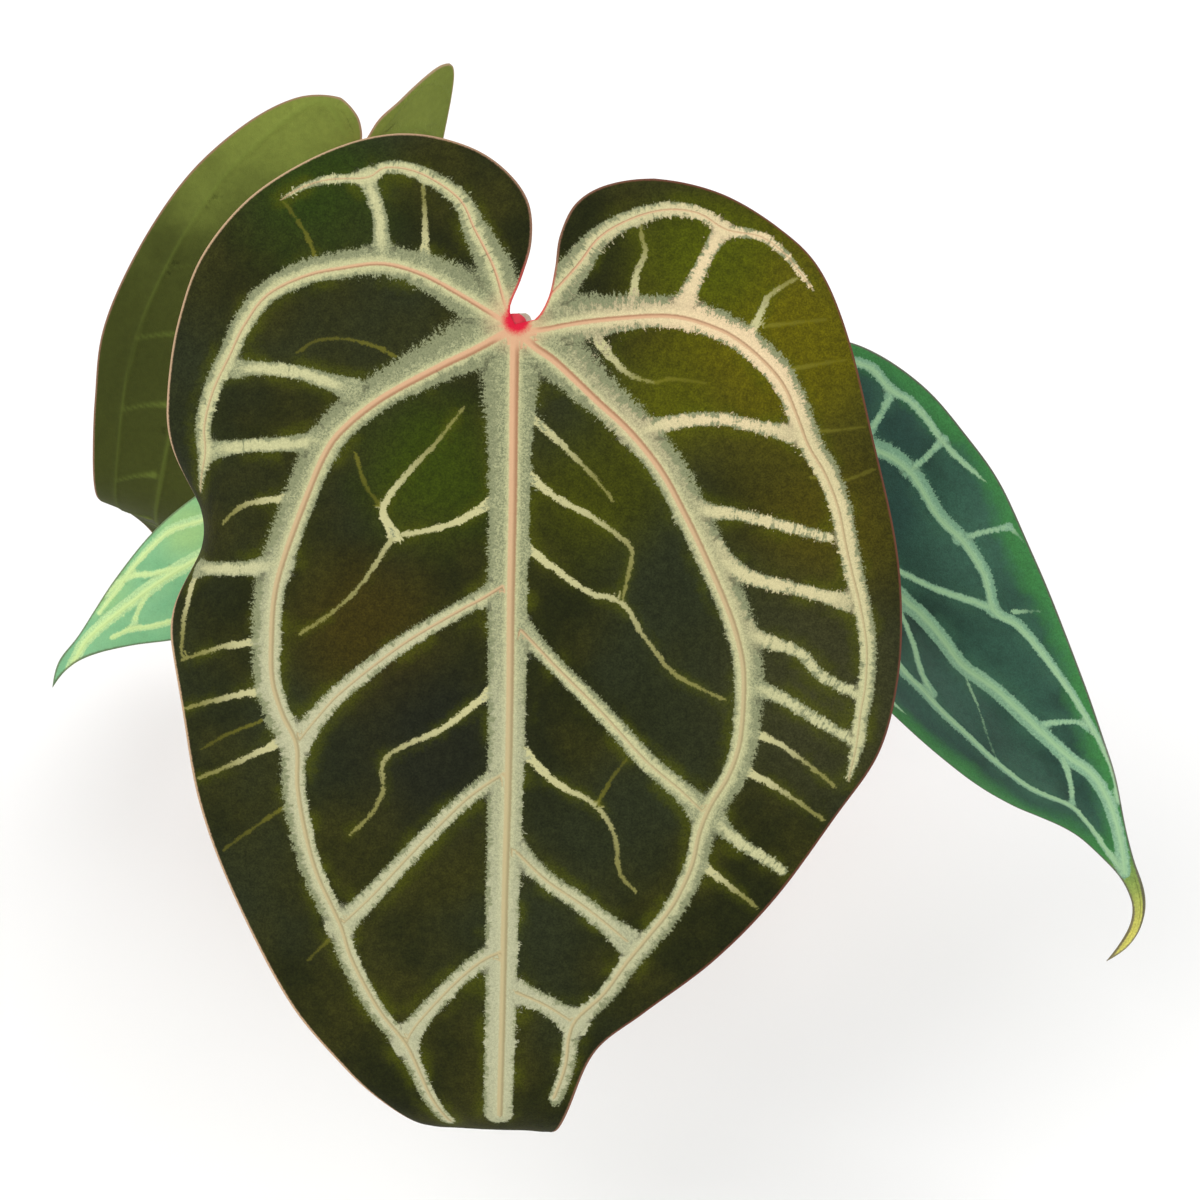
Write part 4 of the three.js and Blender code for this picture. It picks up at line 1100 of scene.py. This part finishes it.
def makeStem(barkPaint, rootPaint, scalePaint):
    # the stem's profile carried round and pushed out by waves round and along it; the roots as uneven tubes;
    # each bud scale as a thick sheet wrapped round the stem, whose radius grows by its lean
    points, faces = turnedBody(stem["profile"], stem["rows"], stem["sides"])
    x, y, z = np.moveaxis(points, -1, 0)
    turn = np.arctan2(y, x)
    rough = stem["bark"] * (np.sin(z * 1.9 + 2 * np.sin(turn * 3)) * 0.5 + np.sin(turn * 11 + z * 0.7) * 0.3
                            + np.sin(turn * 23 + 3 * np.sin(z)) * 0.2)
    radius = np.hypot(x, y)
    grow = 1 + rough * np.minimum(1, radius / 4) / np.maximum(radius, 1)
    points = np.stack([x * grow, y * grow, z], axis=-1).reshape(-1, 3)
    first, faces, _ = weld(points, faces, step=1e-4)
    finishPiece(putMesh("stemBark", points[first], faces, barkPaint), "stem")
    allPoints, allFaces, start = [], [], 0
    for number, (turn, reach, rise) in enumerate(roots):
        c, s = np.cos(turn * deg), np.sin(turn * deg)
        bow, arch = rootForm["bow"], rootForm["arch"]
        run = [(bow, rise), (12, rise + arch), (reach - bow, rise), (reach, rise - bow - 1),
               (reach, rootForm["foot"])]
        path = evenPath([(r * c, r * s, z) for r, z in run], rootForm["rows"])
        share = np.linspace(0, 1, rootForm["rows"])[:, None]
        angle = (2 * np.pi * np.arange(rootForm["sides"]) / rootForm["sides"])[None, :]
        uneven = 0.06 * np.sin(share * 31 + number) + 0.03 * np.sin(5 * angle + share * 40)
        radii = rootForm["radius"] * (1.12 - 0.2 * share + uneven)
        placed, made, _ = tubeAlong(path, radii, rootForm["sides"], np.array([-s, c, 0.0]))
        allPoints.append(placed)
        allFaces.append(made + start)
        start += len(placed)
    finishPiece(putMesh("roots", np.concatenate(allPoints), np.concatenate(allFaces), rootPaint), "stem")
    for number, (turn, length, low, lean, half) in enumerate(budScales):
        v = np.linspace(0, 1, scaleForm["rows"])[:, None]
        u = np.linspace(-1, 1, scaleForm["columns"])[None, :]
        reach = half * np.sin(np.pi * (0.16 + 0.84 * v))**0.8 + 0.25
        radius = scaleForm["seat"] + length * v * np.sin(lean * deg) * (0.5 + 0.5 * v) + 0 * u
        angle = turn * deg + u * reach / (radius * 0.9 + 4)
        rib = 0.12 * np.sin(u * 14) * (1 - v)
        radius = radius + rib
        middle = np.stack([radius * np.cos(angle), radius * np.sin(angle),
                           low + length * v * np.cos(lean * deg) + 0 * u], axis=-1)
        placed, made = thickSheet(middle, scaleForm["thickness"] / 2)
        finishPiece(putMesh(f"budScale{number + 1}", placed, made, scalePaint), "stem")


def thickSheet(middle, half):  # a grid of points moved to both sides along its normals, meeting at its edges
    rows, columns = middle.shape[:2]
    v, u = np.linspace(0, 1, rows)[:, None], np.linspace(0, 1, columns)[None, :]
    inset = np.minimum(np.minimum(v, 1 - v) * rows / 3, np.minimum(u, 1 - u) * columns / 2)
    depth = (half * np.sqrt(np.clip(inset, 0, 1))).ravel()
    flat, faces = middle.reshape(-1, 3), gridFaces(rows, columns)
    normals = pointNormals(flat, faces)
    points = np.concatenate([flat + normals * depth[:, None], flat - normals * depth[:, None]])
    both = np.concatenate([faces, faces[:, ::-1] + len(flat)])
    first, welded, _ = weld(points, both, step=1e-3)
    return points[first], welded


def stemPaint():
    p = Paint("stemBark", 0.8, 0.05, 0.3)
    rings = p.stretched((0.35, 0.35, 2.2))
    colour = p.cloud(tint(86, 84, 48), tint(120, 92, 62), (240, 4, 0.65, rings), 0.35, 0.7)
    colour = p.cloud(colour, tint(58, 46, 32), (900, 3, 0.7), 0.5, 0.7, 0.7)
    return p.finish(colour, None, p.bump(p.noise(700, 4, 0.7, rings), 0.0006))


def rootPaint():
    p = Paint("rootSkin", 0.75, 0.3, 0.3)
    colour = p.cloud(tint(150, 128, 96), tint(186, 172, 140), (150, 4, 0.6), 0.4, 0.65)
    colour = p.cloud(colour, tint(110, 84, 58), (1800, 2, 0.6), 0.5, 0.75, 0.5)
    return p.finish(colour, None, p.bump(p.noise(2400, 3, 0.7), 0.0003))


def scalePaint():
    p = Paint("budScaleSkin", 0.6, 0.1, 0.35)
    fibres = p.stretched((1, 1, 0.06))
    colour = p.cloud(tint(150, 112, 68), tint(186, 150, 100), (800, 3, 0.6, fibres), 0.35, 0.65)
    colour = p.cloud(colour, tint(120, 134, 66), (60, 2, 0.5), 0.5, 0.7, 0.6)
    return p.finish(colour, None, p.bump(p.noise(1400, 3, 0.6, fibres), 0.0003))


# The pot and its mix

pot = {  # mm
    "height": 135, "baseRadius": 50, "shoulderRadius": 66, "wall": 5, "floor": 7,
    "rimRadius": 75, "rimHeight": 26, "rimInnerRadius": 68.5, "rimTaper": 1.5, "rimStep": 6,
    "drains": 3, "drainRadius": 6, "drainCircle": 26,
    "sides": 180, "longestSide": 2.2, "softCorner": 1.8, "turning": 0.12,
}
mix = {  # mm
    "top": 119, "relief": 2.2, "crumbs": 0.5, "gap": 0.3, "rings": 48, "sides": 144, "longestSide": 9,
}
# Of the chips and the grains: least and most half sizes, the ring they lie in, how high their middles lie as
# a share of their height, how far they tilt in radians, and how uneven they are
chips = {
    "count": 460, "sizes": ((2.2, 1.4, 0.7), (6.0, 3.2, 1.7)), "ring": (6, 61), "rise": 0.35, "tilt": 0.35,
    "uneven": 0.13,
}
grains = {
    "count": 120, "sizes": ((0.8, 0.8, 0.7), (2.0, 1.8, 1.5)), "ring": (8, 63), "rise": 0.6, "tilt": 0.6,
    "uneven": 0.13,
}


def innerRadiusAt(z):  # the pot's inside widens evenly from its foot to its shoulder
    slope = (pot["shoulderRadius"] - pot["baseRadius"]) / (pot["height"] - pot["rimHeight"])
    return pot["baseRadius"] - pot["wall"] + slope * z


def softCorners(profile, radius, steps=5):
    # each corner becomes a short curve: it leaves one side and joins the next within a radius of the corner
    p = np.asarray(profile, float)
    rounded = [p[:1]]
    for before, corner, after in zip(p, p[1:], p[2:]):
        a, b = before - corner, after - corner
        reach = min(radius, np.linalg.norm(a) / 2.2, np.linalg.norm(b) / 2.2)
        t = np.linspace(0, 1, steps)[:, None]
        start, end = corner + unit(a) * reach, corner + unit(b) * reach
        rounded.append((1 - t)**2 * start + 2 * t * (1 - t) * corner + t**2 * end)
    return np.concatenate(rounded + [p[-1:]])


def finelySplit(profile, longest):  # straight runs cut into pieces no longer than longest
    p = np.asarray(profile, float)
    parts = []
    for a, b in zip(p, p[1:]):
        count = max(1, int(np.ceil(np.linalg.norm(b - a) / longest)))
        parts.append(a + (b - a) * (np.arange(count) / count)[:, None])
    return np.concatenate(parts + [p[-1:]])


def makePot(paint):
    # the outline carried round the upright axis, made thinner by faint turning rings, with the drain holes
    # cut out of its floor
    shoulder, rim, rimInner = pot["height"] - pot["rimHeight"], pot["rimRadius"], pot["rimInnerRadius"]
    outline = [
        (0, 0), (pot["baseRadius"], 0), (pot["shoulderRadius"], shoulder - 2), (rim - 2, shoulder),
        (rim - 0.6, shoulder + 2), (rim, pot["height"]), (rimInner, pot["height"]),
        (rimInner - pot["rimTaper"], shoulder + pot["rimStep"]), (innerRadiusAt(shoulder), shoulder),
        (innerRadiusAt(pot["floor"]), pot["floor"]), (0, pot["floor"]),
    ]
    profile = finelySplit(softCorners(outline, pot["softCorner"]), pot["longestSide"])
    radius, z = profile[:, 0], profile[:, 1]
    rings = 0.5 + 0.5 * np.sin(z * 1.7 + np.sin(z * 0.31) * 2)
    radius = radius - pot["turning"] * rings * smooth(radius / 30)
    angle = 2 * np.pi * np.arange(pot["sides"]) / pot["sides"]
    x, y = radius[:, None] * np.cos(angle), radius[:, None] * np.sin(angle)
    points = np.stack([x, y, np.repeat(z[:, None], pot["sides"], axis=1)], axis=-1).reshape(-1, 3)
    first, faces, _ = weld(points, gridFaces(len(profile), pot["sides"], wrap=True), step=1e-3)
    shell = putMesh("clayPot", points[first], faces, paint)
    cutters = []
    for number in range(pot["drains"]):
        turn = 2 * np.pi * (number + 0.25) / pot["drains"]
        rings, sides, past = 6, 40, 5.0
        path = np.linspace((0, 0, -past), (0, 0, pot["floor"] + past), rings)
        path = path + (pot["drainCircle"] * np.cos(turn), pot["drainCircle"] * np.sin(turn), 0)
        radii = np.full((rings, sides), float(pot["drainRadius"]))
        placed, made, _ = tubeAlong(path, radii, sides, np.array([1.0, 0, 0]))
        cutter = putMesh(f"drain{number}", placed, made, paint)
        cut = shell.modifiers.new("drain", "BOOLEAN")
        cut.object, cut.operation, cut.solver = cutter, "DIFFERENCE", "EXACT"
        cutters.append(cutter)
    ready = shell.evaluated_get(bpy.context.evaluated_depsgraph_get())
    cutShell = bpy.data.meshes.new_from_object(ready)
    shell.modifiers.clear()
    shell.data = cutShell
    for cutter in cutters:
        bpy.data.objects.remove(cutter)
    finishPiece(shell, "pot")


def clayPaint():
    p = Paint("clay", 0.85, 0.05, 0.25)
    turned = p.stretched((0.15, 0.15, 1.6))
    colour = p.cloud(tint(176, 98, 68), tint(196, 118, 84), (60, 4, 0.6, turned), 0.35, 0.65)
    colour = p.cloud(colour, tint(214, 170, 142), (14, 4, 0.6), 0.42, 0.72, 0.55)
    # darker towards the foot of the pot, from about 5 cm above the floor down
    height = p.node("SeparateXYZ", {0: p.place}).outputs["Z"]
    darkerNearFoot = p.step(p.calc("ADD", height, p.calc("MULTIPLY", p.noise(30, 3, 0.6), 0.03)), 0.05, 0.02, 0.0, 0.55)
    colour = p.blend(darkerNearFoot, colour, tint(138, 78, 54))
    colour = p.cloud(colour, tint(120, 66, 46), (1500, 2, 0.6), 0.62, 0.72, 0.5)
    rough = p.step(p.noise(50, 3, 0.6), 0.3, 0.7, 0.78, 0.95)
    normal = p.bump(p.noise(240, 2, 0.5, turned), 0.0004)
    return p.finish(colour, rough, p.bump(p.noise(1100, 4, 0.7), 0.0003, normal))


def lumps(x, y):  # the CAD's sum of waves
    return mix["relief"] * (0.5 * np.sin(x * 0.31 + 1.3 * np.sin(y * 0.17))
                            + 0.5 * np.sin(y * 0.37 + 1.7 * np.sin(x * 0.23 + 1))
                            - 0.4 * np.cos(x * 0.11 + y * 0.13))


def makeBed(paint):
    # a plug that fills the pot: its side follows the pot's inside and its top is lumpy
    shoulder, bottom = pot["height"] - pot["rimHeight"], pot["floor"] + mix["gap"]
    reach = pot["rimInnerRadius"] - pot["rimTaper"] - 2 * mix["gap"]
    side = [(0, bottom), (innerRadiusAt(bottom) - mix["gap"], bottom),
            (innerRadiusAt(shoulder) - mix["gap"], shoulder),
            (reach, shoulder + pot["rimStep"]), (reach, mix["top"] - mix["relief"])]
    top = [(reach * share, mix["top"]) for share in np.linspace(0.99, 0, mix["rings"])]
    profile = np.concatenate([finelySplit(side, mix["longestSide"]), top])
    angle = 2 * np.pi * np.arange(mix["sides"]) / mix["sides"]
    x, y = profile[:, :1] * np.cos(angle), profile[:, :1] * np.sin(angle)
    z = np.repeat(profile[:, 1:], mix["sides"], axis=1)
    crumbs = np.sin(x * 2.1 + 2 * np.sin(y * 1.3)) * np.sin(y * 1.9 + 1.5 * np.sin(x * 1.7)) * mix["crumbs"]
    z = np.where(z > mix["top"] - 1, z + lumps(x, y) + crumbs, z)
    points = np.stack([x, y, z], axis=-1).reshape(-1, 3)
    first, faces, _ = weld(points, gridFaces(len(profile), mix["sides"], wrap=True), step=1e-3)
    finishPiece(putMesh("mixBed", points[first], faces, paint), "potting_mix")


def pebbleForm():  # a cube cut in four on every side and puffed out: 26 points and 48 triangles
    ticks = np.array([-1.0, 0, 1])
    grid = np.stack(np.meshgrid(ticks, ticks, ticks, indexing="ij"), axis=-1).reshape(-1, 3)
    flat, faces, start = [], [], 0
    for axis in range(3):
        for sign in (-1, 1):
            side = grid[grid[:, axis] == sign]
            made = gridFaces(3, 3, start)
            faces.append(made if (sign > 0) == (axis != 1) else made[:, ::-1])
            flat.append(side)
            start += 9
    points = np.concatenate(flat)
    first, faces, _ = weld(points, np.concatenate(faces), step=0.1)
    points = points[first]
    return points / np.linalg.norm(points, axis=1, keepdims=True)**0.55, faces


def scatter(name, kind, paint):
    # pebbles at random places in a ring, each stretched, roughened, tilted, turned and half sunk in the bed
    base, faces = pebbleForm()
    count, (inner, outer), tilt = kind["count"], kind["ring"], kind["tilt"]
    radius = np.sqrt(rng.uniform(inner**2, outer**2, count))
    turn = rng.uniform(0, 2 * np.pi, count)
    centre = np.stack([radius * np.cos(turn), radius * np.sin(turn)], axis=-1)
    size = rng.uniform(*kind["sizes"], (count, 3))
    points = base[None] * (1 + rng.normal(0, kind["uneven"], (count, len(base), 1))) * size[:, None]
    yaw, lean, roll = rng.uniform(0, 2 * np.pi, count), rng.normal(0, tilt, count), rng.normal(0, tilt, count)
    zero, one = np.zeros(count), np.ones(count)

    def turned(angle, axis):
        c, s = np.cos(angle), np.sin(angle)
        rows = [[c, -s, zero], [s, c, zero], [zero, zero, one]]
        order = {2: (0, 1, 2), 0: (2, 0, 1), 1: (1, 2, 0)}[axis]
        return np.moveaxis(np.array([[rows[i][j] for j in order] for i in order]), -1, 0)

    spin = turned(yaw, 2) @ turned(lean, 0) @ turned(roll, 1)
    points = np.einsum("nab,npb->npa", spin, points)
    height = mix["top"] + lumps(*centre.T) + size[:, 2] * kind["rise"]
    points += np.concatenate([centre, height[:, None]], axis=1)[:, None]
    allFaces = (faces[None] + len(base) * np.arange(count)[:, None, None]).reshape(-1, 3)
    tone = np.repeat(rng.uniform(0, 1, count), len(base))
    piece = putMesh(name, points.reshape(-1, 3), allFaces, paint, [("tone", tone)])
    piece.data.polygons.foreach_set("use_smooth", np.zeros(len(allFaces), bool))
    finishPiece(piece, "potting_mix")


def bedPaint():
    p = Paint("mixBedSoil", 0.95, 0, 0.2)
    colour = p.cloud(tint(40, 28, 20), tint(74, 54, 38), (500, 4, 0.7), 0.35, 0.65)
    return p.finish(colour, None, p.bump(p.noise(900, 4, 0.7), 0.001))


def barkPaint():
    p = Paint("barkChip", 0.85, 0, 0.25)
    tone = p.attribute("tone")
    layers = p.stretched((0.4, 0.4, 3))
    colour = p.blend(tone, tint(74, 46, 30), tint(138, 92, 60))
    colour = p.cloud(colour, tint(48, 32, 22), (420, 4, 0.7, layers), 0.45, 0.7, 0.8)
    colour = p.cloud(colour, tint(166, 126, 88), (130, 2, 0.5), 0.6, 0.75, 0.5)
    return p.finish(colour, None, p.bump(p.noise(800, 4, 0.7, layers), 0.0008))


def perlitePaint():
    p = Paint("perliteGrain", 0.9, 0, 0.2)
    colour = p.cloud(tint(232, 230, 222), tint(196, 190, 178), (900, 3, 0.6), 0.4, 0.7)
    return p.finish(colour, None, p.bump(p.noise(1500, 3, 0.6), 0.0004))


def putFloor():
    paint = Paint("floorPaint", 0.7, 0, 0.2)
    paint.finish(paint.blend(paint.noise(3, 2, 0.5), (0.93, 0.93, 0.93, 1), (0.96, 0.96, 0.955, 1)))
    corners = np.array([(-4e3, -4e3, 0), (4e3, -4e3, 0), (4e3, 6e3, 0), (-4e3, 6e3, 0)], float)
    floor = putMesh("floor", corners, np.array([(0, 1, 2, 3)]), paint.material)


# The scene
print("camera, lights and floor")
placeCamera()
lightTheRoom()
putFloor()
makeBlade("front_leaf", bladePaint("front_leaf"), frontVeins, lowest=-236)  # further on, its tip folds under
makeBlade("back_leaf", bladePaint("back_leaf"), None)
makeBlade("right_leaf", bladePaint("right_leaf"), rightVeins)
makeBlade("young_leaf", bladePaint("young_leaf"), youngVeins)
print("stalks, stem and roots")
green = stalkPaint()
for leafName in leaves:
    makeStalk(leafName, green)
makeStem(stemPaint(), rootPaint(), scalePaint())
print("pot and mix")
makePot(clayPaint())
makeBed(bedPaint())
scatter("barkChips", chips, barkPaint())
scatter("perlite", grains, perlitePaint())
